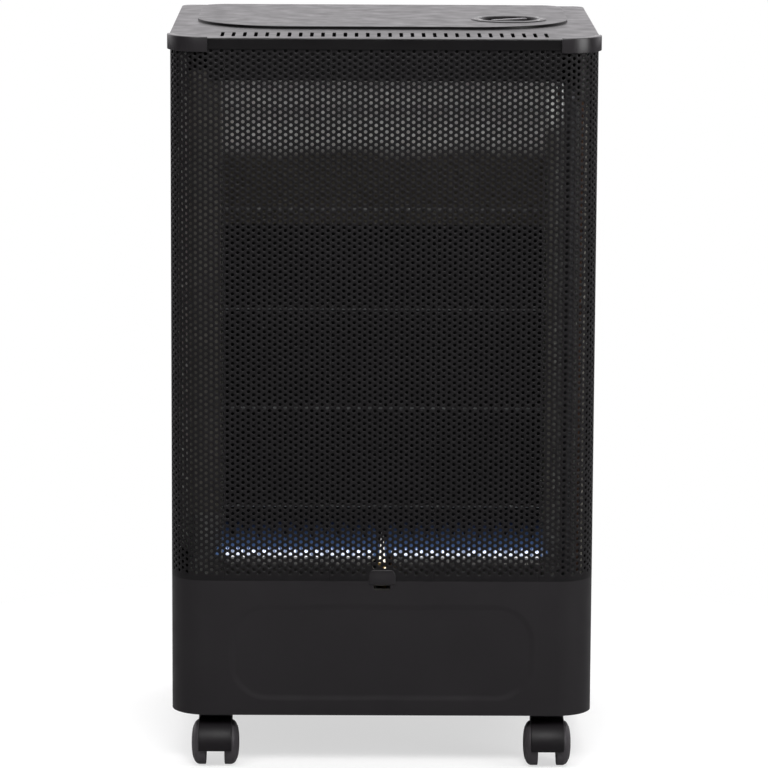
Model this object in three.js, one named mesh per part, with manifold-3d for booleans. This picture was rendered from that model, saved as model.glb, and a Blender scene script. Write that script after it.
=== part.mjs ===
// Portable gas cabinet heater: a sheet steel cabinet on four twin-wheel castors, with a blue-flame burner
// behind a perforated wrap-round front, a press-and-turn gas valve in the lid and a lift-off back over the
// gas cylinder.
// Millimetres, +Z up, front faces -Y, origin on the floor under the middle of the cabinet.

import * as THREE from 'three';
import { mergeGeometries, mergeVertices } from 'three/addons/utils/BufferGeometryUtils.js';
import Module from 'manifold-3d';

const wasm = await Module();
wasm.setup();

// ---------------------------------------------------------------- driving dimensions

const clearance = 0.3;

const cabinet = {
  halfWidth: 207,
  front: -182,
  back: 180,
  bottom: 55,
  top: 720.7,
  cornerRadius: 35,
  rearBend: 10,
  sheet: 1,
  returnEnd: -30,
  seamFlange: 12,
  rearFlange: 20,
};

const lid = {
  halfWidth: 208.4,
  halfDepth: 183.4,
  top: 722,
  skirtBottom: 711.5,
  sheet: 1,
  rearCorner: 12,
  plateau: {
    left: -186,
    right: 184,
    front: -84,
    back: 166,
    frontRadius: 95,
    backRadius: 25,
    rise: 2.5,
    slope: 2.5,
  },
  slots: { count: 30, pitch: 10.8, width: 5, front: -165, back: -123 },
};

const lidCap = { reach: 210, bottom: 708.7, wall: 1.3, lipWidth: 7, lipThickness: 0.8 };

const perforation = { bottom: 196, top: 707, columnPitch: 38, rowPitch: 46, holeRadius: 12.5, sides: 6 };

const pressing = { halfWidth: 151, bottom: 68.5, top: 168, radius: 39, depth: 1.4, slope: 7 };

const sightHole = { width: 16, bottom: 181.2, top: 186.4, hoodWidth: 26, hoodTop: 201, hoodReach: 2.7 };

const firebox = { halfWidth: 157.5, front: -172, back: -133.5, floor: 170, top: 690, sheet: 0.8 };

const shield = { halfWidth: 190, face: -124.4, sheet: 1, bottom: 56.5, top: 655, flange: 10 };

const guardWire = { count: 5, lowest: 261.5, pitch: 97.6, y: -163, radius: 1.3 };

const burner = {
  inner: 9,
  outer: 154,
  y: -148,
  width: 20,
  bottom: 186,
  top: 208,
  mixerRadius: 8,
  mixerZ: 157,
  riserX: 125,
};

const pilot = { x: 0, y: -163, probeX: 10, probeY: -170, sparkX: -10 };

// where each pipe or lead drops down the right side, and the level it crosses under the burner shelf
const gasLine = { radius: 4, bend: 8, x: 181, y: -148, under: 140 };
const pilotLine = { radius: 2, bend: 8, x: 171, y: -163, under: 150 };
const probeLine = { radius: 1.5, bend: 5, x: 191, y: -160, under: 142 };
const sparkLine = { radius: 2, bend: 6, x: 197, y: -145, under: 130 };

const knob = { x: 125, y: 0, radius: 25.5, bottom: 715, top: 725, travel: 6, barAngle: 35 };

const bezel = { radius: 38, top: 725.5, flange: 0.7, cupRadius: 28.5, cupFloor: 707, wall: 1.5 };

const valve = {
  width: 44,
  depth: 36,
  bottom: 652,
  top: 680,
  neckTop: 690,
  neckRadius: 10,
  spindleRadius: 3.7,
};

const rail = { bottom: 640, top: 720, depth: 22 };

const header = { bottom: 681, top: 718, depth: 20, halfWidth: 170 };

const tray = {
  gap: 1.4,
  wall: 1.2,
  frontRadius: 33,
  rearRadius: 9,
  height: 25,
  rearHeight: 18,
  recess: { halfWidth: 160, front: -114, back: 126, radius: 20, depth: 0.8 },
};

const cover = {
  halfWidth: 201,
  bottom: 60,
  top: 660,
  outer: 185,
  cornerRadius: 12,
  slot: { rows: 4, pitch: 26, height: 8, halfWidth: 55, x: 90, lowest: 150, highest: 510 },
  hook: { x: 110, halfWidth: 7, rise: 10, thickness: 1.6 },
};

const castor = {
  x: 164,
  y: 147.5,
  trail: -12,
  wheelRadius: 22.3,
  wheelInner: 9.2,
  wheelOuter: 23.5,
  axleRadius: 3,
  stemRadius: 4,
  hoodRadius: 25.2,
  hoodWidth: 33,
  plateTop: 54.7,
};

// ---------------------------------------------------------------- finishes

const finish = (color, roughness, metalness) =>
  new THREE.MeshStandardMaterial({ color, roughness, metalness });

const blackPowderCoat = () => finish(0x2a272a, 0.45, 0.1);
const blackPlastic = () => finish(0x363336, 0.5, 0);
const galvanised = () => finish(0x9a9b98, 0.4, 0.8);
const blackEnamel = () => finish(0x1c1b1c, 0.6, 0.1);
const castAluminium = () => finish(0xb4b5b6, 0.45, 0.9);
const brass = () => finish(0xb99a54, 0.35, 0.9);
const steel = () => finish(0xa8a9aa, 0.35, 0.9);
const ceramic = () => finish(0xe8e4da, 0.4, 0);
const whiteSilicone = () => finish(0xd8d4cc, 0.6, 0);
const tread = () => finish(0x585457, 0.6, 0);

// ---------------------------------------------------------------- solids

function solid(geometry) {
  const bare = geometry.clone();
  bare.deleteAttribute('normal');
  bare.deleteAttribute('uv');
  const merged = mergeVertices(bare, 1e-4);
  return new wasm.Manifold(new wasm.Mesh({
    numProp: 3,
    vertProperties: new Float32Array(merged.attributes.position.array),
    triVerts: new Uint32Array(merged.index.array),
  }));
}

function geometryOf(body) {
  const { vertProperties, triVerts } = body.getMesh();
  const geometry = new THREE.BufferGeometry();
  geometry.setAttribute('position', new THREE.BufferAttribute(vertProperties, 3));
  geometry.setIndex(new THREE.BufferAttribute(triVerts, 1));
  return geometry;
}

const joined = (...bodies) => bodies.reduce((whole, body) => whole.add(body));

function box(x0, x1, y0, y1, z0, z1) {
  const geometry = new THREE.BoxGeometry(x1 - x0, y1 - y0, z1 - z0);
  geometry.translate((x0 + x1) / 2, (y0 + y1) / 2, (z0 + z1) / 2);
  return solid(geometry);
}

// each arc in an outline is drawn in this many straight steps
const inSteps = (arcSteps) => ({ curveSegments: arcSteps / 2, bevelEnabled: false });

// a plan outline raised from z0 to z1
function raised(shape, z0, z1, arcSteps = 6) {
  const geometry = new THREE.ExtrudeGeometry(shape, { depth: z1 - z0, ...inSteps(arcSteps) });
  geometry.translate(0, 0, z0);
  return geometry;
}

// a side profile, drawn as (y, z), drawn out along X from x0 to x1
function drawnAlongX(shape, x0, x1, arcSteps = 6) {
  const geometry = new THREE.ExtrudeGeometry(shape, { depth: x1 - x0, ...inSteps(arcSteps) });
  const toSide = new THREE.Matrix4().makeBasis(
    new THREE.Vector3(0, 1, 0), new THREE.Vector3(0, 0, 1), new THREE.Vector3(1, 0, 0));
  geometry.applyMatrix4(toSide);
  geometry.translate(x0, 0, 0);
  return geometry;
}

// a front outline, drawn as (x, z), given depth from y0 to y1 and, with a bevel, rounded in beyond both
function drawnAlongY(shape, y0, y1, arcSteps = 6, bevel = {}) {
  const geometry = new THREE.ExtrudeGeometry(shape, { depth: y1 - y0, ...inSteps(arcSteps), ...bevel });
  const toFront = new THREE.Matrix4().makeBasis(
    new THREE.Vector3(1, 0, 0), new THREE.Vector3(0, 0, 1), new THREE.Vector3(0, -1, 0));
  geometry.applyMatrix4(toFront);
  geometry.translate(0, y1, 0);
  return geometry;
}

function outline(points) {
  return new THREE.Shape(points.map(([x, y]) => new THREE.Vector2(x, y)));
}

// a rectangle with its own radius at the low and the high corners
function roundedRectangle(x0, x1, y0, y1, lowRadius, highRadius = lowRadius) {
  const shape = new THREE.Shape();
  shape.moveTo(x0 + lowRadius, y0);
  shape.lineTo(x1 - lowRadius, y0);
  shape.absarc(x1 - lowRadius, y0 + lowRadius, lowRadius, -Math.PI / 2, 0, false);
  shape.lineTo(x1, y1 - highRadius);
  shape.absarc(x1 - highRadius, y1 - highRadius, highRadius, 0, Math.PI / 2, false);
  shape.lineTo(x0 + highRadius, y1);
  shape.absarc(x0 + highRadius, y1 - highRadius, highRadius, Math.PI / 2, Math.PI, false);
  shape.lineTo(x0, y0 + lowRadius);
  shape.absarc(x0 + lowRadius, y0 + lowRadius, lowRadius, Math.PI, Math.PI * 1.5, false);
  return shape;
}

// turned about the vertical through x, y; the profile is a list of (radius, z)
function turned(profile, segments, x = 0, y = 0) {
  const geometry = new THREE.LatheGeometry(profile.map(([r, z]) => new THREE.Vector2(r, z)), segments);
  geometry.rotateX(Math.PI / 2);
  geometry.translate(x, y, 0);
  return geometry;
}

function uprightRod(radius, z0, z1, sides, x = 0, y = 0) {
  const geometry = new THREE.CylinderGeometry(radius, radius, z1 - z0, sides);
  geometry.rotateX(Math.PI / 2);
  geometry.translate(x, y, (z0 + z1) / 2);
  return solid(geometry);
}

function rodAlongX(radius, x0, x1, y, z, sides) {
  const geometry = new THREE.CylinderGeometry(radius, radius, x1 - x0, sides);
  geometry.rotateZ(Math.PI / 2);
  geometry.translate((x0 + x1) / 2, y, z);
  return solid(geometry);
}

function rodAlongY(radius, y0, y1, x, z, sides) {
  const geometry = new THREE.CylinderGeometry(radius, radius, y1 - y0, sides);
  geometry.translate(x, (y0 + y1) / 2, z);
  return solid(geometry);
}

// a bent pipe's centre line: straight runs between corners, each corner turned in a few short steps
class BentLine extends THREE.Curve {
  constructor(corners, bendRadius, bendSteps = 2) {
    super();
    const points = corners.map((c) => new THREE.Vector3(...c));
    this.stops = [points[0]];
    for (let i = 1; i < points.length - 1; i += 1) {
      const inward = points[i - 1].clone().sub(points[i]).setLength(bendRadius).add(points[i]);
      const outward = points[i + 1].clone().sub(points[i]).setLength(bendRadius).add(points[i]);
      const corner = new THREE.QuadraticBezierCurve3(inward, points[i], outward);
      this.stops.push(...corner.getPoints(bendSteps));
    }
    this.stops.push(points[points.length - 1]);
    this.steps = this.stops.length - 1;
  }

  getPoint(t) {
    const along = Math.min(t * this.steps, this.steps);
    const index = Math.min(Math.floor(along), this.steps - 1);
    return this.stops[index].clone().lerp(this.stops[index + 1], along - index);
  }

  getPointAt(u) {
    return this.getPoint(u);
  }

  getTangentAt(u) {
    const index = Math.round(u * this.steps);
    const before = this.stops[Math.max(index - 1, 0)];
    const here = this.stops[index];
    const after = this.stops[Math.min(index + 1, this.steps)];
    const arriving = here.clone().sub(before).normalize();
    const leaving = after.clone().sub(here).normalize();
    return arriving.add(leaving).normalize();
  }
}

function bentPipe(corners, radius, bendRadius, sides = 6) {
  const line = new BentLine(corners, bendRadius);
  const section = new THREE.Shape();
  section.absarc(0, 0, radius, 0, Math.PI * 2, false);
  return new THREE.ExtrudeGeometry(section, { steps: line.steps, extrudePath: line, ...inSteps(sides) });
}

function piece(name, form, material) {
  const geometry = form.isBufferGeometry ? form : geometryOf(form);
  const mesh = new THREE.Mesh(geometry, material);
  mesh.name = name;
  return mesh;
}

// ---------------------------------------------------------------- cabinet

// rows of holes in staggered columns over the straight width of the front sheet
function perforationPunches(halfWidth) {
  const { bottom, top, columnPitch, rowPitch, holeRadius, sides } = perforation;
  const columns = Math.floor((halfWidth - holeRadius * 1.4) / columnPitch);
  const punches = [];
  for (let column = -columns; column <= columns; column += 1) {
    const stagger = column % 2 === 0 ? 0 : rowPitch / 2;
    for (let z = bottom + holeRadius + stagger; z <= top - holeRadius; z += rowPitch) {
      const punch = new THREE.CylinderGeometry(holeRadius, holeRadius, 8, sides);
      punch.translate(column * columnPitch, cabinet.front, z);
      punches.push(punch);
    }
  }
  return solid(mergeGeometries(punches));
}

// the shallow pressing in the solid part of the front: the sheet rolls back into a rounded rectangle
function pressedPanel(sheet) {
  const { halfWidth, bottom, top, radius, depth, slope } = pressing;
  const { front, sheet: t } = cabinet;
  const rolled = {
    bevelEnabled: true, bevelThickness: depth, bevelSize: slope, bevelOffset: -slope, bevelSegments: 2,
  };
  const backing = roundedRectangle(-halfWidth - t, halfWidth + t, bottom - t, top + t, radius + t);
  const recess = roundedRectangle(-halfWidth, halfWidth, bottom, top, radius);
  return sheet
    .add(solid(drawnAlongY(backing, front + t * 0.6, front + t, 4, rolled)))
    .subtract(solid(drawnAlongY(recess, front - 2 * depth, front, 4, rolled)));
}

// a small hood pressed out over the sight hole, open below
function sightHood(sheet) {
  const { width, bottom, top, hoodWidth, hoodTop, hoodReach } = sightHole;
  const { front, sheet: t } = cabinet;
  const outer = outline([
    [front + t / 2, hoodTop], [front - 0.2, hoodTop], [front - hoodReach, top + 3],
    [front - hoodReach, top + 0.6], [front + t / 2, top + 0.6],
  ]);
  const inner = outline([
    [front + t + 1, hoodTop - 3], [front + 0.4, hoodTop - 3], [front - hoodReach + t, top + 3],
    [front - hoodReach + t, top - 1], [front + t + 1, top - 1],
  ]);
  return sheet
    .add(solid(drawnAlongX(outer, -hoodWidth / 2, hoodWidth / 2)))
    .subtract(solid(drawnAlongX(inner, -hoodWidth / 2 + t, hoodWidth / 2 - t)))
    .subtract(box(-width / 2, width / 2, front - 1, front + t + 1, bottom, top));
}

// the straight width of the front sheet, as far as its round corners
function frontPanel() {
  const { halfWidth, cornerRadius, front, sheet: t, bottom, top } = cabinet;
  const w = halfWidth - cornerRadius;
  const sheet = box(-w, w, front, front + t, bottom, top).subtract(perforationPunches(w));
  return piece('front_panel', sightHood(pressedPanel(sheet)), blackPowderCoat());
}

// the same sheet carried round a corner and back along the side, its end folded in as a seam flange; its
// holes are left to the flat front
function frontWrap(name, side) {
  const { halfWidth: w, front, cornerRadius: r, sheet: t, returnEnd, seamFlange, bottom, top } = cabinet;
  const straight = w - r;
  const cy = front + r;
  const plan = new THREE.Shape();
  plan.moveTo(straight, front);
  plan.absarc(straight, cy, r, Math.PI * 1.5, Math.PI * 2, false);
  plan.lineTo(w, returnEnd);
  plan.lineTo(w - seamFlange, returnEnd);
  plan.lineTo(w - seamFlange, returnEnd - t);
  plan.lineTo(w - t, returnEnd - t);
  plan.lineTo(w - t, cy);
  plan.absarc(straight, cy, r - t, 0, -Math.PI / 2, true);
  let wrap = solid(raised(plan, bottom, top))
    .subtract(box(0, straight + clearance, front - 1, cy, bottom - 1, top + 1));
  if (side < 0) {
    wrap = wrap.mirror([1, 0, 0]);
  }
  return piece(name, wrap, blackPowderCoat());
}

// a solid side sheet with a seam flange at the front and a landing flange for the back
function sidePanel(name, side) {
  const { halfWidth: w, back, bottom, top, sheet: t, returnEnd, seamFlange, rearFlange } = cabinet;
  const r = cabinet.rearBend;
  const seam = returnEnd + clearance;
  const shape = new THREE.Shape();
  shape.moveTo(w - seamFlange, seam);
  shape.lineTo(w, seam);
  shape.lineTo(w, back - r);
  shape.absarc(w - r, back - r, r, 0, Math.PI / 2, false);
  shape.lineTo(w - rearFlange, back);
  shape.lineTo(w - rearFlange, back - t);
  shape.lineTo(w - r, back - t);
  shape.absarc(w - r, back - r, r - t, Math.PI / 2, 0, true);
  shape.lineTo(w - t, seam + t);
  shape.lineTo(w - seamFlange, seam + t);
  let sheet = solid(raised(shape, bottom, top, 3));
  if (side < 0) {
    sheet = sheet.mirror([1, 0, 0]);
  }
  return piece(name, sheet, blackPowderCoat());
}

// the floor pan: upturned edge all round inside the cabinet sheets, lower at the back and slotted for hooks,
// its middle pressed down to locate the cylinder's foot ring
function baseTray() {
  const { gap, wall, frontRadius, rearRadius, height, rearHeight, recess } = tray;
  const { bottom, returnEnd, halfWidth: w } = cabinet;
  const back = cabinet.back - gap;
  const plan = (inset) => roundedRectangle(
    -w + gap + inset, w - gap - inset, cabinet.front + gap + 1.2 + inset, back - inset,
    frontRadius - inset, rearRadius - inset);
  const recessPlan = (inset) => roundedRectangle(
    -recess.halfWidth + inset, recess.halfWidth - inset, recess.front + inset, recess.back - inset,
    recess.radius - inset);
  const floor = bottom + wall;
  let pan = solid(raised(plan(0), bottom, bottom + height, 4))
    .subtract(solid(raised(plan(wall), floor, bottom + height + 5, 4)))
    .add(solid(raised(recessPlan(0), bottom - recess.depth, floor - recess.depth / 2, 4)))
    .subtract(solid(raised(recessPlan(wall), floor - recess.depth, floor + 1, 4)))
    .subtract(box(-180, 180, back - 4, back + 1, bottom + rearHeight, bottom + height + 5));
  for (const x of [-cover.hook.x, cover.hook.x]) {
    const reach = cover.hook.halfWidth + 2;
    const hookBottom = bottom + cover.hook.rise;
    pan = pan.subtract(box(x - reach, x + reach, back - 4, back + 1, hookBottom - 1, hookBottom + 3));
  }
  // notches that clear the seam flanges of the sheets
  const seamInner = w - cabinet.seamFlange - 0.8;
  for (const side of [-1, 1]) {
    const [near, far] = [side * seamInner, side * w].sort((a, b) => a - b);
    pan = pan.subtract(box(near, far, returnEnd - 1.6, returnEnd + 2, bottom - 1, bottom + height + 1));
  }
  return piece('base_tray', pan, blackPowderCoat());
}

// a sheet folded twice into a channel: its face at y, its two flanges reaching the given way
function channel(y, reach, bottom, top, t) {
  const way = Math.sign(reach);
  return outline([
    [y, bottom], [y, top], [y + reach, top], [y + reach, top - t], [y + way * t, top - t],
    [y + way * t, bottom + t], [y + reach, bottom + t], [y + reach, bottom],
  ]);
}

// the channel that ties the two sides together behind, above the cylinder
function rearCrossRail() {
  const { halfWidth, back, sheet: t } = cabinet;
  const reach = halfWidth - t - 9;
  const profile = channel(back - t - clearance, -rail.depth, rail.bottom, rail.top, t);
  return piece('rear_cross_rail', drawnAlongX(profile, -reach, reach), blackPowderCoat());
}

// dark band behind the top of the perforated front, closing the firebox above
function frontHeader() {
  const { bottom, top, depth, halfWidth } = header;
  const t = cabinet.sheet;
  const face = cabinet.front + t + 0.8;
  const profile = outline([
    [face, bottom], [face + t, bottom], [face + t, top - t], [face + depth, top - t], [face + depth, top],
    [face, top],
  ]);
  return piece('front_header', drawnAlongX(profile, -halfWidth, halfWidth), blackEnamel());
}

// ---------------------------------------------------------------- lid

function lidPlan(inset) {
  const { halfWidth, halfDepth, rearCorner } = lid;
  const frontRadius = cabinet.cornerRadius + halfWidth - cabinet.halfWidth;
  return roundedRectangle(
    -halfWidth + inset, halfWidth - inset, -halfDepth + inset, halfDepth - inset,
    frontRadius - inset, rearCorner - inset);
}

function plateauPlan(inset) {
  const { left, right, front, back, frontRadius, backRadius } = lid.plateau;
  return roundedRectangle(
    left + inset, right - inset, front + inset, back - inset, frontRadius - inset, backRadius - inset);
}

// the raised middle of the lid, with sloping edges: the upper outline drawn in by the slope
function plateauBody(inset, z0, z1) {
  const { left, right, front, back, slope } = lid.plateau;
  const geometry = raised(plateauPlan(inset), z0, z1);
  const midX = (left + right) / 2;
  const midY = (front + back) / 2;
  const position = geometry.attributes.position;
  for (let i = 0; i < position.count; i += 1) {
    if (position.getZ(i) > (z0 + z1) / 2) {
      const x = position.getX(i) - midX;
      const y = position.getY(i) - midY;
      position.setX(i, midX + x * (1 - (2 * slope) / (right - left)));
      position.setY(i, midY + y * (1 - (2 * slope) / (back - front)));
    }
  }
  return solid(geometry);
}

function ventSlots() {
  const { count, pitch, width, front, back } = lid.slots;
  const cuts = [];
  for (let i = 0; i < count; i += 1) {
    const x = (i - (count - 1) / 2) * pitch;
    const slot = roundedRectangle(x - width / 2, x + width / 2, front, back, width / 2);
    cuts.push(raised(slot, lid.top - 3, lid.top + 3, 1));
  }
  return solid(mergeGeometries(cuts));
}

function topLid() {
  const { top, skirtBottom, sheet: t, plateau } = lid;
  const shell = solid(raised(lidPlan(0), skirtBottom, top))
    .add(plateauBody(0, top - t / 2, top + plateau.rise))
    .subtract(solid(raised(lidPlan(t), skirtBottom - 1, top - t)))
    .subtract(plateauBody(t, top - t - 1, top + plateau.rise - t))
    .subtract(ventSlots())
    .subtract(uprightRod(bezel.cupRadius + 0.8, top - 5, top + 10, 24, knob.x, knob.y));
  return piece('top_lid', shell, blackPowderCoat());
}

// moulded cap round a front corner of the lid, with a thin lip over its top
function lidCornerCap(name, side) {
  const { reach, bottom, wall, lipWidth, lipThickness } = lidCap;
  const cx = cabinet.halfWidth - cabinet.cornerRadius;
  const cy = cabinet.front + cabinet.cornerRadius;
  const outer = reach - cx;
  const run = 2;
  const band = (inner) => {
    const shape = new THREE.Shape();
    shape.moveTo(cx - run, cy - outer);
    shape.lineTo(cx, cy - outer);
    shape.absarc(cx, cy, outer, -Math.PI / 2, 0, false);
    shape.lineTo(cx + outer, cy + run);
    shape.lineTo(cx + inner, cy + run);
    shape.lineTo(cx + inner, cy);
    shape.absarc(cx, cy, inner, 0, -Math.PI / 2, true);
    shape.lineTo(cx - run, cy - inner);
    return shape;
  };
  const lipBottom = lid.top + clearance;
  let cap = solid(raised(band(outer - wall), bottom, lipBottom + lipThickness))
    .add(solid(raised(band(outer - lipWidth), lipBottom, lipBottom + lipThickness)));
  if (side < 0) {
    cap = cap.mirror([1, 0, 0]);
  }
  return piece(name, cap, blackPlastic());
}

// ---------------------------------------------------------------- knob, valve and igniter

function knobBezel() {
  const { radius, top, flange, cupRadius, cupFloor, wall } = bezel;
  const floorTop = cupFloor + wall;
  const profile = [
    [9, cupFloor], [cupRadius, cupFloor], [cupRadius, top - flange], [radius, top - flange],
    [radius, top - 0.3], [radius - 1, top], [cupRadius - wall, top], [cupRadius - wall, floorTop],
    [9, floorTop], [9, cupFloor],
  ];
  return piece('knob_bezel', turned(profile, 20, knob.x, knob.y), blackPlastic());
}

// dished knob with a grip bar across it and a hub that takes the spindle
function controlKnob() {
  const { radius, bottom, top, barAngle } = knob;
  const dish = [
    [0, bottom - 5.5], [7, bottom - 5.5], [7, bottom], [radius, bottom], [radius, bottom + 5],
    [radius - 1.5, bottom + 6], [radius - 4, bottom + 3], [0, bottom + 3],
  ];
  const bar = raised(roundedRectangle(-radius + 3.2, radius - 3.2, -4.5, 4.5, 4), bottom + 2, top, 3);
  bar.rotateZ(THREE.MathUtils.degToRad(barAngle));
  const body = solid(turned(dish, 20))
    .add(solid(bar))
    .subtract(uprightRod(valve.spindleRadius + 0.4, bottom - 7, bottom + 2, 12));
  const mesh = piece('control_knob', body, blackPlastic());
  mesh.position.set(knob.x, knob.y, 0);
  return mesh;
}

function knobSpindle() {
  const { spindleRadius: r } = valve;
  const top = knob.bottom + 1.6;
  const shaft = uprightRod(r, 664, top, 12).subtract(box(r - 1.2, r + 1, -r, r, top - 12, top + 1));
  const mesh = piece('knob_spindle', shaft, steel());
  mesh.position.set(knob.x, knob.y, 0);
  return mesh;
}

// the washer that the return spring pushes on: it moves in and out with the spindle but doesn't turn
function thrustWasher() {
  const bore = valve.spindleRadius + 0.5;
  const profile = [[bore, 698], [9, 698], [9, 699.5], [bore, 699.5], [bore, 698]];
  const mesh = piece('thrust_washer', turned(profile, 16), steel());
  mesh.position.set(knob.x, knob.y, 0);
  return mesh;
}

function gasValveBody() {
  const { width, depth, bottom, top, neckTop, neckRadius, spindleRadius } = valve;
  const block = raised(roundedRectangle(-width / 2, width / 2, -depth / 2, depth / 2, 5), bottom, top, 2);
  const face = -depth / 2;
  const body = joined(
    solid(block),
    uprightRod(neckRadius, top - 1, neckTop, 16),
    rodAlongY(7, face - 6, face + 1, 10, 668, 8),
    rodAlongY(4, face - 5, face + 1, -1, 676, 8),
    rodAlongY(6, face - 9, face + 1, -13, 660, 8),
    rodAlongY(8, -face - 1, -face + 6, 0, 664, 8),
  ).subtract(uprightRod(spindleRadius + 0.6, 656, neckTop + 1, 12));
  const mesh = piece('gas_valve_body', body, castAluminium());
  mesh.position.set(knob.x, knob.y, 0);
  return mesh;
}

// hat-section bracket that hangs the valve under the lid
function valveBracket() {
  const halfWidth = 37;
  const t = 1.2;
  const plate = valve.neckTop + 0.3;
  const underLid = lid.top + lid.plateau.rise - lid.sheet - clearance;
  const profile = outline([
    [-54, underLid - t], [-halfWidth - t, underLid - t], [-halfWidth - t, plate], [halfWidth + t, plate],
    [halfWidth + t, underLid - t], [45, underLid - t], [45, underLid], [halfWidth, underLid],
    [halfWidth, plate + t], [-halfWidth, plate + t], [-halfWidth, underLid], [-54, underLid],
  ]);
  const bracket = solid(drawnAlongY(profile, -25, 25)).subtract(uprightRod(11, plate - 2, plate + 4, 16));
  const mesh = piece('valve_bracket', bracket, galvanised());
  mesh.position.set(knob.x, knob.y, 0);
  return mesh;
}

function piezoIgniter() {
  const x0 = knob.x + valve.width / 2 + 0.4;
  const body = box(x0, x0 + 15, -9, 9, 645, 682)
    .subtract(box(x0 + 2, x0 + 13, -10, -6, 668, 680));
  return piece('piezo_igniter', body, blackPlastic());
}

// barbed hose tail on the valve's inlet
function hoseTail() {
  const profile = [[0, 0], [7, 0], [7, 6], [4.5, 7]];
  for (let barb = 0; barb < 4; barb += 1) {
    const z = 9 + barb * 5;
    profile.push([5.2, z], [4.3, z + 4.5]);
  }
  profile.push([2.6, 30], [2.6, 10], [0, 10]);
  const geometry = new THREE.LatheGeometry(profile.map(([r, z]) => new THREE.Vector2(r, z)), 8);
  const mesh = piece('hose_tail', geometry, brass());
  mesh.position.set(knob.x, valve.depth / 2 + 6 + clearance, 664);
  return mesh;
}

// ---------------------------------------------------------------- pipes and leads

function gasPipe() {
  const { radius, bend, x, y, under } = gasLine;
  const outlet = { x: knob.x + 10, y: -24.4, z: 668 };
  const route = [
    [outlet.x, outlet.y, outlet.z], [outlet.x, -50, outlet.z], [x, -100, outlet.z], [x, y, outlet.z],
    [x, y, under], [0, y, under], [0, y, 148.6],
  ];
  const unionNut = uprightRod(radius * 2, 640, 654, 6, x, y);
  return piece('gas_pipe', solid(bentPipe(route, radius, bend, 8)).add(unionNut), steel());
}

function pilotPipe() {
  const { radius, bend, x, y, under } = pilotLine;
  const outlet = { x: knob.x - 1, y: -23.4, z: 676 };
  const route = [
    [outlet.x, outlet.y, outlet.z], [outlet.x, -60, outlet.z], [x, -115, outlet.z], [x, y, outlet.z],
    [x, y, under], [pilot.x, y, under], [pilot.x, y, 175.7],
  ];
  return piece('pilot_pipe', bentPipe(route, radius, bend), castAluminium());
}

// the thin copper lead and, brazed to its end, the probe that stands in the pilot flame
function thermocouple() {
  const { radius, bend, x, y, under } = probeLine;
  const { probeX, probeY } = pilot;
  const outlet = { x: knob.x - 13, y: -27.4, z: 660 };
  const route = [
    [outlet.x, outlet.y, outlet.z], [outlet.x, -50, outlet.z], [x, -108, outlet.z], [x, y, outlet.z],
    [x, y, under], [182, probeY, under], [probeX, probeY, under], [probeX, probeY, 179],
  ];
  const probe = [[0, 178], [2.5, 178], [2.5, 196], [1.7, 198], [1.7, 214], [0.8, 216], [0, 216]];
  const lead = solid(bentPipe(route, radius, bend));
  return piece('thermocouple', lead.add(solid(turned(probe, 10, probeX, probeY))), brass());
}

function ignitionLead() {
  const { radius, bend, x, y, under } = sparkLine;
  const outlet = { x: 155, y: -9.3, z: 650 };
  const route = [
    [outlet.x, outlet.y, outlet.z], [outlet.x, -40, outlet.z], [x, -80, outlet.z], [x, y, outlet.z],
    [x, y, under], [185, pilot.y, under], [pilot.sparkX, pilot.y, under], [pilot.sparkX, pilot.y, 175.7],
  ];
  return piece('ignition_lead', bentPipe(route, radius, bend), whiteSilicone());
}

// ---------------------------------------------------------------- burner and pilot

// one burner bar with rows of port slots on top and its mixing tube turned under it
function burnerBar(name, side) {
  const { inner, outer, y, width, bottom, top, mixerRadius, mixerZ, riserX } = burner;
  const section = new THREE.Shape();
  section.moveTo(y - width / 2, bottom);
  section.lineTo(y + width / 2, bottom);
  section.lineTo(y + width / 2, top - 6);
  section.lineTo(y + 5, top);
  section.lineTo(y - 5, top);
  section.lineTo(y - width / 2, top - 6);
  const bar = solid(drawnAlongX(section, inner, outer));
  const tube = [[24, y, mixerZ], [riserX, y, mixerZ], [riserX, y, bottom + 2]];
  const mixer = solid(bentPipe(tube, mixerRadius, 18, 10));
  const bell = rodAlongX(mixerRadius + 3, 22, 30, y, mixerZ, 10);
  let body = joined(bar, mixer, bell).subtract(rodAlongX(5, 20, 44, y, mixerZ, 8));
  const ports = [];
  for (let x = inner + 8; x < outer - 6; x += 12) {
    const port = new THREE.BoxGeometry(3, 14, 8);
    port.translate(x + 1.5, y, top - 1);
    ports.push(port);
  }
  body = body.subtract(solid(mergeGeometries(ports)));
  if (side < 0) {
    body = body.mirror([1, 0, 0]);
  }
  return piece(name, body, steel());
}

// brass block between the mixing tubes, with an injector nozzle facing each
function injectorBlock() {
  const { y, mixerZ } = burner;
  const body = joined(
    box(-12, 12, y - 9, y + 9, 149, 165),
    rodAlongX(3.4, -19, 19, y, mixerZ, 6),
  );
  return piece('injector_block', body, brass());
}

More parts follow.
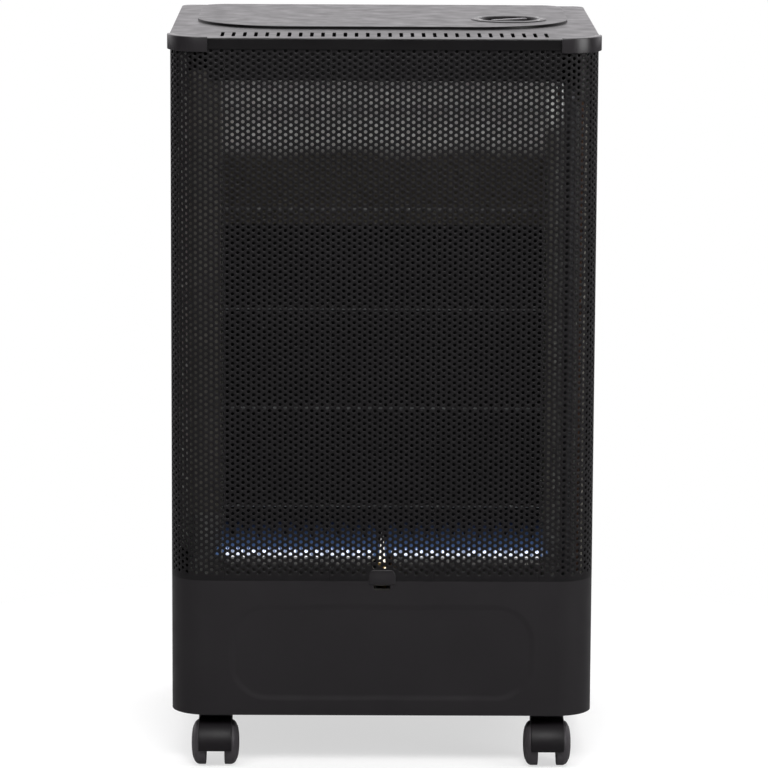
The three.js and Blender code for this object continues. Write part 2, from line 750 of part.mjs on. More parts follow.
// the shelf that the firebox stands on, with holes for the risers, and the bracket for the pilot folded up
// out of its opening
function burnerShelf() {
  const { floor } = firebox;
  const { y, riserX, mixerRadius } = burner;
  const t = 1.2;
  const table = 184;
  const plate = joined(
    box(-166, 166, -177, shield.face - 0.3, floor, floor + t),
    box(-166, 166, -177, -177 + t, floor, floor + 12),
  )
    .subtract(uprightRod(mixerRadius + 2.4, floor - 2, floor + 4, 12, riserX, y))
    .subtract(uprightRod(mixerRadius + 2.4, floor - 2, floor + 4, 12, -riserX, y))
    .subtract(box(-17, 17, -174, -157.2, floor - 2, floor + 4));
  const bracket = joined(
    box(-17, 17, -174.5, -157.2 + t, table, table + t),
    box(-17, 17, -157.2, -157.2 + t, floor + t / 2, table + t),
  )
    .subtract(uprightRod(5, table - 4, table + 6, 12, pilot.x, pilot.y))
    .subtract(uprightRod(3, table - 4, table + 6, 12, pilot.probeX, pilot.probeY))
    .subtract(uprightRod(3.8, table - 4, table + 6, 12, pilot.sparkX, pilot.y));
  return piece('burner_shelf', plate.add(bracket), galvanised());
}

function pilotBurner() {
  const profile = [
    [0, 176], [4.4, 176], [4.4, 192], [3.2, 194], [3.2, 200], [4.4, 201], [4.4, 205], [2.6, 205],
    [2.6, 200], [0, 200],
  ];
  return piece('pilot_burner', turned(profile, 10, pilot.x, pilot.y), brass());
}

// ceramic tube with its electrode wire bent towards the pilot
function sparkElectrode() {
  const { sparkX, y } = pilot;
  const tube = solid(turned([[0, 176], [3.2, 176], [3.2, 196], [2, 199], [0, 199]], 10, sparkX, y));
  const wire = solid(bentPipe([[sparkX, y, 197], [sparkX, y, 208], [sparkX + 5, y, 210]], 1, 2.5, 6));
  return piece('spark_electrode', tube.add(wire), ceramic());
}

// ---------------------------------------------------------------- firebox

function fireboxBack() {
  const { halfWidth, back, floor, sheet } = firebox;
  const base = floor + 1.5;
  const profile = outline([
    [back, base], [back + sheet, base], [back + sheet, 535], [back, 535], [back, base + sheet],
    [back - 5, base + sheet], [back - 5, base],
  ]);
  return piece('firebox_back', drawnAlongX(profile, -halfWidth + 0.6, halfWidth - 0.6), blackEnamel());
}

// side wall with an outward flange at its front edge and holes that take the guard wires
function fireboxWall(name, side, flangeWidth) {
  const { halfWidth: w, front, back, floor, top, sheet: t } = firebox;
  const plan = outline([
    [w, front], [w + flangeWidth, front], [w + flangeWidth, front + t], [w + t, front + t], [w + t, back],
    [w, back],
  ]);
  let wall = solid(raised(plan, floor + 1.5, top))
    .subtract(box(w + t, w + flangeWidth + 1, front - 1, front + t + 1, floor, 256));
  const holes = [];
  for (let i = 0; i < guardWire.count; i += 1) {
    const hole = new THREE.CylinderGeometry(guardWire.radius + 0.5, guardWire.radius + 0.5, 6, 6);
    hole.rotateZ(Math.PI / 2);
    hole.translate(w, guardWire.y, guardWire.lowest + i * guardWire.pitch);
    holes.push(hole);
  }
  wall = wall.subtract(solid(mergeGeometries(holes)));
  if (side < 0) {
    wall = wall.mirror([1, 0, 0]);
  }
  return piece(name, wall, galvanised());
}

// bright folded sheet that throws the hot air forward at the top of the firebox
function topDeflector() {
  const { halfWidth, back, front, sheet: t } = firebox;
  const y = back - 0.5;
  const profile = outline([
    [y, 536], [y - 5, 607], [y - 15, 636], [front + 1, 680], [front + 1 + t, 680 + t],
    [y - 15 + t, 636 + t], [y - 5 + t, 607 + t], [y + t, 536],
  ]);
  return piece('top_deflector', drawnAlongX(profile, -halfWidth + 0.6, halfWidth - 0.6), galvanised());
}

function guardWirePiece(index) {
  const { lowest, pitch, y, radius } = guardWire;
  const reach = firebox.halfWidth + 3;
  const wire = rodAlongX(radius, -reach, reach, 0, 0, 6);
  const mesh = piece(`guard_wire_${index + 1}`, wire, steel());
  mesh.position.set(0, y, lowest + index * pitch);
  return mesh;
}

// sheet between the firebox and the cylinder, standing on the floor pan
function heatShield() {
  const { halfWidth: w, face, sheet: t, bottom, top, flange } = shield;
  const plan = outline([
    [-w, face - flange], [-w + t, face - flange], [-w + t, face], [w - t, face], [w - t, face - flange],
    [w, face - flange], [w, face + t], [-w, face + t],
  ]);
  const foot = box(-w + 15, w - 15, face - 12, face + t, bottom, bottom + t);
  return piece('heat_shield', solid(raised(plan, bottom, top)).add(foot), galvanised());
}

// ---------------------------------------------------------------- back cover

// shallow pan with two columns of air slots and two hooks that enter the floor pan
function rearCover() {
  const { halfWidth: w, bottom, top, outer, cornerRadius: r, slot, hook } = cover;
  const t = cabinet.sheet;
  const landing = cabinet.back + clearance;
  const slots = [];
  for (const x of [-slot.x, slot.x]) {
    for (const lowest of [slot.lowest, slot.highest]) {
      for (let row = 0; row < slot.rows; row += 1) {
        const z = lowest + row * slot.pitch;
        const shape = roundedRectangle(
          x - slot.halfWidth, x + slot.halfWidth, z, z + slot.height, slot.height / 2 - 0.1);
        slots.push(drawnAlongY(shape, outer - 3, outer + 3, 1));
      }
    }
  }
  let pan = solid(drawnAlongY(roundedRectangle(-w, w, bottom, top, r), landing, outer, 3))
    .subtract(solid(drawnAlongY(
      roundedRectangle(-w + t, w - t, bottom + t, top - t, r - t), landing - 1, outer - t, 3)))
    .subtract(solid(mergeGeometries(slots)));
  for (const x of [-hook.x, hook.x]) {
    const z = cabinet.bottom + hook.rise;
    pan = pan.add(box(
      x - hook.halfWidth, x + hook.halfWidth, cabinet.back - 2.2, outer - t / 2, z, z + hook.thickness));
  }
  return piece('rear_cover', pan, blackPowderCoat());
}

// ---------------------------------------------------------------- castors

// fixed plate under the cabinet with the stem that the hood turns on
function castorPlate(name) {
  const { plateTop, stemRadius } = castor;
  const plate = solid(raised(roundedRectangle(-23, 23, -19, 19, 4), plateTop - 2, plateTop, 2));
  return piece(name, plate.add(uprightRod(stemRadius, 36, plateTop - 1, 12)), blackPlastic());
}

// curved hood over the wheels, which stand turned to the front, the web between them, and the neck that
// takes the stem
function castorHood(name) {
  const { trail, wheelRadius, hoodRadius, hoodWidth, axleRadius, stemRadius, plateTop } = castor;
  const low = THREE.MathUtils.degToRad(20);
  const high = THREE.MathUtils.degToRad(188.5);
  const z = wheelRadius;
  const shell = new THREE.Shape();
  shell.absarc(trail, z, hoodRadius, low, high, false);
  shell.absarc(trail, z, hoodRadius - 1.6, high, low, true);
  const web = new THREE.Shape();
  web.absarc(trail, z, hoodRadius - 0.8, low, high, false);
  web.lineTo(trail - 6, z - 4);
  web.lineTo(trail + 6, z - 4);
  const neckTop = plateTop - 2.5;
  const body = joined(
    solid(drawnAlongX(shell, -hoodWidth / 2, hoodWidth / 2, 8)),
    solid(drawnAlongX(web, -8.8, 8.8, 8)),
    box(-hoodWidth / 2, hoodWidth / 2, -10.5, 10.5, 34, neckTop)
      .subtract(rodAlongX(hoodRadius - 0.7, -20, 20, trail, z, 24)),
  );
  return piece(name, body
    .subtract(uprightRod(stemRadius + 0.5, 35, neckTop + 1, 12))
    .subtract(rodAlongX(axleRadius + 0.3, -20, 20, trail, z, 10)), blackPlastic());
}

function castorAxle(name) {
  const axle = rodAlongX(castor.axleRadius, -20.4, 20.4, castor.trail, castor.wheelRadius, 10);
  return piece(name, axle, steel());
}

// domed wheel with a blind bore; its flats are drawn so that one of them lies on the floor
function castorWheel(name, side) {
  const { wheelRadius, wheelInner, wheelOuter, axleRadius, trail } = castor;
  const segments = 18;
  const rim = wheelRadius / Math.cos(Math.PI / segments);
  const profile = [
    [0, 21], [axleRadius + 0.4, 21], [axleRadius + 0.4, wheelInner], [rim, wheelInner], [rim, 16.5],
    [rim - 2.6, 20.5], [rim - 9, 23], [0, wheelOuter],
  ];
  const geometry = new THREE.LatheGeometry(profile.map(([r, x]) => new THREE.Vector2(r, x)), segments);
  const toSide = new THREE.Matrix4().makeBasis(
    new THREE.Vector3(0, 0, 1), new THREE.Vector3(1, 0, 0), new THREE.Vector3(0, 1, 0));
  geometry.applyMatrix4(toSide);
  if (side < 0) {
    geometry.rotateZ(Math.PI);
  }
  const mesh = piece(name, geometry, tread());
  mesh.position.set(0, trail, wheelRadius);
  return mesh;
}

function castorAt(label, x, y) {
  const group = new THREE.Group();
  group.position.set(x, y, 0);
  group.add(
    castorPlate(`castor_plate_${label}`),
    castorHood(`castor_hood_${label}`),
    castorAxle(`castor_axle_${label}`),
    castorWheel(`castor_wheel_${label}_left`, -1),
    castorWheel(`castor_wheel_${label}_right`, 1),
  );
  return group;
}

// ---------------------------------------------------------------- assembly

const heater = new THREE.Group();
heater.add(
  baseTray(),
  frontPanel(),
  frontWrap('front_left_wrap', -1),
  frontWrap('front_right_wrap', 1),
  sidePanel('left_side_panel', -1),
  sidePanel('right_side_panel', 1),
  rearCrossRail(),
  frontHeader(),
  topLid(),
  lidCornerCap('left_lid_cap', -1),
  lidCornerCap('right_lid_cap', 1),
  knobBezel(),
  gasValveBody(),
  valveBracket(),
  piezoIgniter(),
  hoseTail(),
  gasPipe(),
  pilotPipe(),
  thermocouple(),
  ignitionLead(),
  injectorBlock(),
  burnerBar('burner_left', -1),
  burnerBar('burner_right', 1),
  burnerShelf(),
  pilotBurner(),
  sparkElectrode(),
  fireboxBack(),
  fireboxWall('firebox_left_wall', -1, 30),
  fireboxWall('firebox_right_wall', 1, 9),
  topDeflector(),
  heatShield(),
  rearCover(),
  thrustWasher(),
  knobSpindle(),
  controlKnob(),
);
for (let i = 0; i < guardWire.count; i += 1) {
  heater.add(guardWirePiece(i));
}
heater.add(
  castorAt('front_left', -castor.x, -castor.y),
  castorAt('front_right', castor.x, -castor.y),
  castorAt('rear_left', -castor.x, castor.y),
  castorAt('rear_right', castor.x, castor.y),
);

export default heater;
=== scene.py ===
import math

import bmesh
import bpy
from mathutils import Matrix, Vector


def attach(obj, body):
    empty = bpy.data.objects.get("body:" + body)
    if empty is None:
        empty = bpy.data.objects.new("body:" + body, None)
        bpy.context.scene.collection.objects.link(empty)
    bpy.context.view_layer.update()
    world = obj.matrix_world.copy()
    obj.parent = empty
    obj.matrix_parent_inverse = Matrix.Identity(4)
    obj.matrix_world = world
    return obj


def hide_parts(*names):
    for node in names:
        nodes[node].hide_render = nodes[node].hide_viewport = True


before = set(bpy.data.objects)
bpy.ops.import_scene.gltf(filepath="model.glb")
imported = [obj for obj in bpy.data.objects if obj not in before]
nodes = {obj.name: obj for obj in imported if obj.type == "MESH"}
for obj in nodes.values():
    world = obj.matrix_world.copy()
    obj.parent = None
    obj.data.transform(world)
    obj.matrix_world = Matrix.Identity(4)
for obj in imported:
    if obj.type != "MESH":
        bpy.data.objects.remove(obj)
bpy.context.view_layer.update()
scene = bpy.context.scene
mm = 0.001

# ---- colours and shader nodes


def linear(code, alpha=1.0):
    values = [int(code[i:i + 2], 16) / 255 for i in (0, 2, 4)]
    return [v / 12.92 if v <= 0.04045 else ((v + 0.055) / 1.055) ** 2.4 for v in values] + [alpha]


def addNode(tree, kind, settings=None, links=None):
    node = tree.nodes.new(kind)
    for key, value in (settings or {}).items():
        if isinstance(key, int) or key in node.inputs:
            node.inputs[key].default_value = value
        else:
            setattr(node, key, value)
    for key, source in (links or {}).items():
        tree.links.new(source, node.inputs[key])
    return node


def newMaterial(name, surface):
    material = bpy.data.materials.new(name)
    material.use_nodes = True
    tree = material.node_tree
    shader = tree.nodes["Principled BSDF"]
    for key, value in surface.items():
        shader.inputs[key].default_value = value
    coords = addNode(tree, "ShaderNodeTexCoord")
    return material, tree, shader, coords.outputs["Object"]


def noiseAt(tree, coords, size, detail=3.0, rough=0.5, stretch=(1, 1, 1)):
    # size is the width of one blotch in millimetres
    mapping = addNode(tree, "ShaderNodeMapping", {"Scale": stretch}, {"Vector": coords})
    return addNode(
        tree, "ShaderNodeTexNoise",
        {"Scale": 1000 / size, "Detail": detail, "Roughness": rough},
        {"Vector": mapping.outputs[0]}).outputs["Fac"]


def ramp(tree, factor, low, high, start=0.0, end=1.0):
    return addNode(
        tree, "ShaderNodeMapRange",
        {"From Min": start, "From Max": end, "To Min": low, "To Max": high},
        {"Value": factor}).outputs["Result"]


def mixColour(tree, factor, first, second):
    node = addNode(tree, "ShaderNodeMix", {"data_type": "RGBA"})
    colours = [s for s in node.inputs if s.type == "RGBA"]
    colours[0].default_value = first
    if isinstance(second, list):
        colours[1].default_value = second
    else:
        tree.links.new(second, colours[1])
    tree.links.new(factor, node.inputs[0])
    return [s for s in node.outputs if s.type == "RGBA"][0]


def bump(tree, shader, height, strength, distance):
    node = addNode(
        tree, "ShaderNodeBump", {"Strength": strength, "Distance": distance * mm}, {"Height": height})
    tree.links.new(node.outputs[0], shader.inputs["Normal"])


def coated(name, code, lighter, roughness, peel, specular=0.5, coat=0.0):
    # baked powder coat: orange peel of about a millimetre, colour and gloss drifting slowly over
    # the sheet, so that its sheen isn't even
    material, tree, shader, coords = newMaterial(
        name, {"Specular IOR Level": specular, "Coat Weight": coat, "Coat Roughness": 0.25})
    drift = noiseAt(tree, coords, 90, 4)
    tree.links.new(mixColour(tree, drift, linear(code), linear(lighter)), shader.inputs["Base Color"])
    gloss = noiseAt(tree, coords, 22, 5)
    tree.links.new(
        ramp(tree, gloss, roughness - 0.05, roughness + 0.06, 0.3, 0.7), shader.inputs["Roughness"])
    bump(tree, shader, noiseAt(tree, coords, peel, 2), 0.22, 0.05)
    return material


def moulded(name, code, lighter, roughness, grain, specular=0.45):
    # injection moulded from a spark-eroded tool: fine even grain, a little flow mottling
    material, tree, shader, coords = newMaterial(name, {"Specular IOR Level": specular})
    flow = noiseAt(tree, coords, 35, 3)
    tree.links.new(mixColour(tree, flow, linear(code), linear(lighter)), shader.inputs["Base Color"])
    tree.links.new(ramp(tree, flow, roughness - 0.04, roughness + 0.05), shader.inputs["Roughness"])
    bump(tree, shader, noiseAt(tree, coords, grain, 2), 0.35, 0.04)
    return material


def spangled(name, code, lighter, roughness, grainSize, metallic=0.55, colourBelow=None, toneHeights=(0, 1)):
    # hot-dip zinc: flat crystals about a centimetre across, each with its own grey and gloss; where a
    # second colour is given, the zinc turns to it from the given heights down, along a wavy line
    material, tree, shader, coords = newMaterial(name, {"Metallic": metallic})
    crystals = addNode(
        tree, "ShaderNodeTexVoronoi", {"Scale": 1000 / grainSize, "Randomness": 1.0}, {"Vector": coords})
    tone = addNode(tree, "ShaderNodeSeparateColor", None, {"Color": crystals.outputs["Color"]})
    colour = mixColour(tree, tone.outputs[0], linear(code), linear(lighter))
    if colourBelow:
        height = addNode(tree, "ShaderNodeSeparateXYZ", None, {"Vector": coords})
        wavy = addNode(
            tree, "ShaderNodeMath", {"operation": "MULTIPLY_ADD", 1: 0.02},
            {0: noiseAt(tree, coords, 60, 3), 2: height.outputs["Z"]})
        above = ramp(tree, wavy.outputs[0], 0, 1, *toneHeights)
        colour = mixColour(tree, above, linear(colourBelow), colour)
    tree.links.new(colour, shader.inputs["Base Color"])
    tree.links.new(
        ramp(tree, tone.outputs[1], roughness - 0.05, roughness + 0.06), shader.inputs["Roughness"])
    bump(tree, shader, noiseAt(tree, coords, 3, 3), 0.1, 0.04)
    return material


def drawnMetal(
        name, code, lighter, roughness, stretch=(1, 1, 1), size=4, metallic=1.0, lowerColour=None, toneHeights=(0, 1)):
    # drawn, turned or plated metal: short directional marks and thin stains; where a second colour is given,
    # it takes that colour from the given heights down
    material, tree, shader, coords = newMaterial(name, {"Metallic": metallic})
    marks = noiseAt(tree, coords, size, 4, 0.6, stretch)
    colour = mixColour(tree, marks, linear(code), linear(lighter))
    if lowerColour:
        height = addNode(tree, "ShaderNodeSeparateXYZ", None, {"Vector": coords})
        colour = mixColour(tree, ramp(tree, height.outputs["Z"], 0, 1, *toneHeights), linear(lowerColour), colour)
    tree.links.new(colour, shader.inputs["Base Color"])
    tree.links.new(ramp(tree, marks, roughness - 0.07, roughness + 0.1), shader.inputs["Roughness"])
    bump(tree, shader, marks, 0.1, 0.03)
    return material


print("materials")
powderCoat = coated("satin black powder coat", "161416", "1b191b", 0.44, 1.1, 0.22)
# the punched part of the front sheet has the same coat as its solid lower part; this darker copy of the coat
# is painted shade
punchedCoatShaded = coated("satin black powder coat, punched sheet, painted shade", "0c0b0c", "121012", 0.46, 1.1, 0.16)
lidCoat = coated("satin black powder coat, lid", "0a090a", "0f0e0f", 0.33, 1.3, 0.17)
enamel = coated("matt heatproof enamel", "070707", "0c0b0b", 0.66, 0.8, 0.12)
capPlastic = moulded("black corner moulding", "171517", "1e1c1e", 0.3, 0.5, 0.4)
bezelPlastic = moulded("black bezel moulding", "121012", "191719", 0.3, 0.6, 0.16)
knobPlastic = moulded("black knob moulding", "1a181a", "232123", 0.26, 0.6, 0.35)
castorPlastic = moulded("moulded nylon, castor", "0d0b0d", "131013", 0.46, 0.7, 0.2)
wheelPlastic = moulded("moulded nylon, wheel", "2b282b", "373437", 0.5, 0.8, 0.3)
zinc = spangled("hot-dip zinc", "a9aaa6", "bbbcb8", 0.45, 9)
# the deflector is drawn light grey at its top and dark olive brown below a wavy line near 0.61 m
zincDarkBelow = spangled("hot-dip zinc, darker towards the bottom", "dcdcda", "ecebe9", 0.5, 9, 0.35, "4a463c", (0.612, 0.628))
# the bare seam zinc is drawn near white: partly its own bare metal, partly a painted highlight for the light
# seen through the corner holes
bareSeamHighlight = spangled("hot-dip zinc, uncoated seam, painted highlight", "e2e2e0", "f0f0ee", 0.5, 9, 0.2)
zincShelf = spangled("hot-dip zinc, sooted", "5f5d57", "74716a", 0.5, 9)
# the right firebox wall is drawn near white at its top, above a wavy line near 0.64 m, a painted highlight
# on its upper flange; below that it has the sooted tone of the left wall
zincWall = spangled(
    "hot-dip zinc, sooted, painted highlight at the top", "f2f2f0", "fbfbf9", 0.35, 9, 0.3, "5f5d57", (0.636, 0.656))
pipePlate = drawnMetal("zinc plated pipe, dulled", "55565a", "6d6e71", 0.4)
brightPlate = drawnMetal("bright zinc plate", "a4a5a8", "c3c4c6", 0.28)
aluminised = drawnMetal("pressed aluminised steel", "6d6c6a", "8d8b88", 0.45, (1, 1, 1), 8)
castMetal = drawnMetal("die cast aluminium", "9a9b9c", "b6b7b8", 0.5, (1, 1, 1), 2)
# the pilot tube is drawn near white above 635 to 650 mm, a painted highlight, and dark grey below
tubeMetal = drawnMetal(
    "drawn aluminium tube, painted highlight at the top", "f2f2f2", "fafafa", 0.4, (1, 1, 0.1), 1, 0.2, "4c4c4b", (0.635, 0.65))
brassMetal = drawnMetal("machined brass", "a6853c", "c9a65a", 0.3, (1, 1, 1), 1.5)
copperMetal = drawnMetal("drawn copper, dulled", "5c4438", "735548", 0.45, (1, 1, 1), 3)
ceramicGlaze = moulded("glazed ceramic", "e3ded2", "eee9df", 0.2, 1.5, 0.5)
siliconeSleeve = moulded("silicone sleeve", "cfcbc2", "dcd8d0", 0.55, 0.6, 0.4)
markPaint = moulded("pad printed mark", "c9c9c7", "d6d6d4", 0.5, 0.5)

# ---- mesh helpers


def faceOutward(bm):
    # an open sheet has no inside: it faces away from the middle of the cabinet
    middle = Vector((0, 0, 0.38))
    bmesh.ops.recalc_face_normals(bm, faces=bm.faces)
    total = sum(f.normal.dot(f.calc_center_median() - middle) * f.calc_area() for f in bm.faces)
    if total < 0:
        bmesh.ops.reverse_faces(bm, faces=bm.faces)


def place(bm, name, material, body, standsFor=(), sharp=35, wall=0.0, edge=0.0):
    if wall:
        faceOutward(bm)
    else:
        bmesh.ops.recalc_face_normals(bm, faces=bm.faces)
    mesh = bpy.data.meshes.new(name)
    bm.to_mesh(mesh)
    bm.free()
    mesh.materials.append(material)
    mesh.shade_smooth()
    mesh.set_sharp_from_angle(angle=math.radians(sharp))
    piece = bpy.data.objects.new(name, mesh)
    scene.collection.objects.link(piece)
    if wall:
        solid = piece.modifiers.new("wall", "SOLIDIFY")
        solid.thickness = wall
        solid.offset = -1
        solid.use_quality_normals = True
    if edge:
        soft = piece.modifiers.new("edge", "BEVEL")
        soft.width = edge
        soft.segments = 2
        soft.limit_method = "ANGLE"
        soft.angle_limit = math.radians(40)
        soft.harden_normals = True
    if wall:
        # flat sheet keeps a flat sheen right up to its bends
        weighted = piece.modifiers.new("flat", "WEIGHTED_NORMAL")
        weighted.keep_sharp = True
    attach(piece, body)
    if standsFor:
        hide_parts(*standsFor)
    return piece


def roundedFace(bm, x0, x1, y0, y1, radii, steps=8):
    # a flat plate at z 0 with the radii in the order low left, low right, high right, high left
    made = bmesh.ops.create_grid(bm, x_segments=1, y_segments=1, size=0.5)["verts"]
    corners = {}
    for v in made:
        right, high = v.co.x > 0, v.co.y > 0
        v.co = Vector((x1 if right else x0, y1 if high else y0, 0))
        corners[(right, high)] = v
    before = set(bm.verts) - set(made)
    order = [(False, False), (True, False), (True, True), (False, True)]
    for key, radius in zip(order, radii):
        if radius > 0:
            bmesh.ops.bevel(
                bm, geom=[corners[key]], offset=radius, offset_type="OFFSET", segments=steps,
                profile=0.5, affect="VERTICES", material=-1)
    return next(f for f in bm.faces if not set(f.verts) & before)


def openFace(bm, face):
    edges = list(face.edges)
    bmesh.ops.delete(bm, geom=[face], context="FACES_ONLY")
    return edges


def circleEdges(bm, radius, x, y, segments):
    made = bmesh.ops.create_circle(
        bm, cap_ends=False, segments=segments, radius=radius, matrix=Matrix.Translation((x, y, 0)))
    return list({e for v in made["verts"] for e in v.link_edges})


def fillBetween(bm, edges, merge=False):
    bmesh.ops.triangle_fill(bm, use_beauty=True, use_dissolve=merge, edges=edges, normal=(0, 0, 1))


def profileChain(bm, points, closed=False):
    verts = [bm.verts.new(p) for p in points]
    edges = [bm.edges.new(pair) for pair in zip(verts, verts[1:])]
    if closed:
        edges.append(bm.edges.new((verts[-1], verts[0])))
    return verts, edges


def lathe(bm, profile, steps, centre=(0, 0), angle=2 * math.pi):
    # profile is a list of (radius, height); it closes on the axis or on itself
    cx, cy = centre
    closed = profile[0][0] > 0 and profile[0] != profile[-1]
    verts, edges = profileChain(bm, [(cx + r, cy, z) for r, z in profile], closed)
    bmesh.ops.spin(
        bm, geom=verts + edges, cent=(cx, cy, 0), axis=(0, 0, 1), angle=angle, steps=steps,
        use_merge=True, use_duplicate=False)
    bmesh.ops.remove_doubles(bm, verts=bm.verts, dist=1e-6)


def extrudeBy(bm, edges, offset):
    made = bmesh.ops.extrude_edge_only(bm, edges=edges)["geom"]
    verts = [g for g in made if isinstance(g, bmesh.types.BMVert)]
    bmesh.ops.translate(bm, verts=verts, vec=offset)
    return verts, [g for g in made if isinstance(g, bmesh.types.BMEdge) and g.is_boundary]


def foldedSheet(path, bends, z0, z1):
    # a plan path raised from z0 to z1, each inner corner bent to its own radius
    bm = bmesh.new()
    verts, edges = profileChain(bm, [(x, y, z0) for x, y in path])
    extrudeBy(bm, edges, (0, 0, z1 - z0))
    for (x, y), (radius, steps) in bends.items():
        upright = [e for e in bm.edges if all(
            abs(v.co.x - x) < 1e-7 and abs(v.co.y - y) < 1e-7 for v in e.verts)]
        bmesh.ops.bevel(
            bm, geom=upright, offset=radius, offset_type="OFFSET", segments=steps, profile=0.5,
            affect="EDGES", material=-1)
    return bm


def rolledRim(bm, ring, centres, radius, depth, steps=5):
    # carries a flat rim over a quarter round and down to depth, each point away from its corner's centre
    starts = {}
    for step in range(1, steps + 2):
        turn = min(step, steps) / steps * math.pi / 2
        made = bmesh.ops.extrude_edge_only(bm, edges=ring)["geom"]
        verts = {g for g in made if isinstance(g, bmesh.types.BMVert)}
        ring = [g for g in made if isinstance(g, bmesh.types.BMEdge) and all(v in verts for v in g.verts)]
        for v in verts:
            if step == 1:
                centre = min(centres, key=lambda c: (c - v.co).length)
                starts[v] = (v.co.copy(), (v.co - centre).normalized())
            else:
                beside = (e.other_vert(v) for e in v.link_edges)
                starts[v] = starts[next(o for o in beside if o not in verts)]
            start, way = starts[v]
            v.co = start + way * radius * math.sin(turn)
            v.co.z -= radius * (1 - math.cos(turn)) if step <= steps else depth


toFront = Matrix.Rotation(math.radians(90), 4, "X")

# ---- wrap-round front sheet

sheet = {
    "halfWidth": 0.207, "front": -0.182, "radius": 0.035, "thick": 1 * mm, "bottom": 0.055,
    "top": 0.7207, "returnEnd": -0.030, "flange": 0.012, "flangeBend": 1.5 * mm, "join": 0.190,
}
sheet["straight"] = sheet["halfWidth"] - sheet["radius"]
sheet["arc"] = sheet["radius"] * math.pi / 2
sheet["end"] = sheet["straight"] + sheet["arc"] + sheet["returnEnd"] - sheet["front"] - sheet["radius"]

# staggered round holes, 3.5 mm wide, one pair of columns every 10.3 mm
holes = {
    "pitchU": 5.13 * mm, "pitchZ": 6.2 * mm, "radius": 1.74 * mm, "low": 0.1950, "rows": 83,
    "firstColumn": -66, "pairs": [10, 8, 10, 10, 10, 8, 10],
    "blankHalfWidth": 0.0145, "blankTop": 0.2035,
}


def wrapRound(bm):
    # flat coordinates are (distance along the sheet, depth behind its face, height)
    r = sheet["radius"]
    for v in bm.verts:
        u, depth, z = v.co
        side = 1 if u >= 0 else -1
        d = abs(u)
        if d <= sheet["straight"]:
            x, y = d, sheet["front"] + depth
        elif d <= sheet["straight"] + sheet["arc"]:
            turn = (d - sheet["straight"]) / r
            x = sheet["straight"] + (r - depth) * math.sin(turn)
            y = sheet["front"] + r - (r - depth) * math.cos(turn)
        else:
            x = sheet["halfWidth"] - depth
            y = sheet["front"] + r + d - sheet["straight"] - sheet["arc"]
        v.co = (side * x, y, z)


def holeCell(bm, u, z):
    # a hexagon with a vertex in the middle of each side, so that the hole in it has twelve sides
    cell = holes["pitchU"] * 2 / 3
    made = bmesh.ops.create_circle(bm, cap_ends=True, segments=12, radius=cell)["verts"]
    face = made[0].link_faces[0]
    for v in made:
        turn = round(math.atan2(v.co.y, v.co.x) / (math.pi / 6))
        if turn % 2:
            v.co *= math.cos(math.pi / 6)
        v.co.y *= holes["pitchZ"] / (cell * math.sqrt(3))
    bmesh.ops.inset_individual(bm, faces=[face], thickness=cell * 0.3)
    for v in face.verts:
        turn = round(math.atan2(v.co.y, v.co.x) / (math.pi / 6)) * math.pi / 6
        v.co = Vector((math.cos(turn), math.sin(turn), 0)) * holes["radius"]
    bmesh.ops.translate(bm, verts=made + list(face.verts), vec=(u, z, 0))


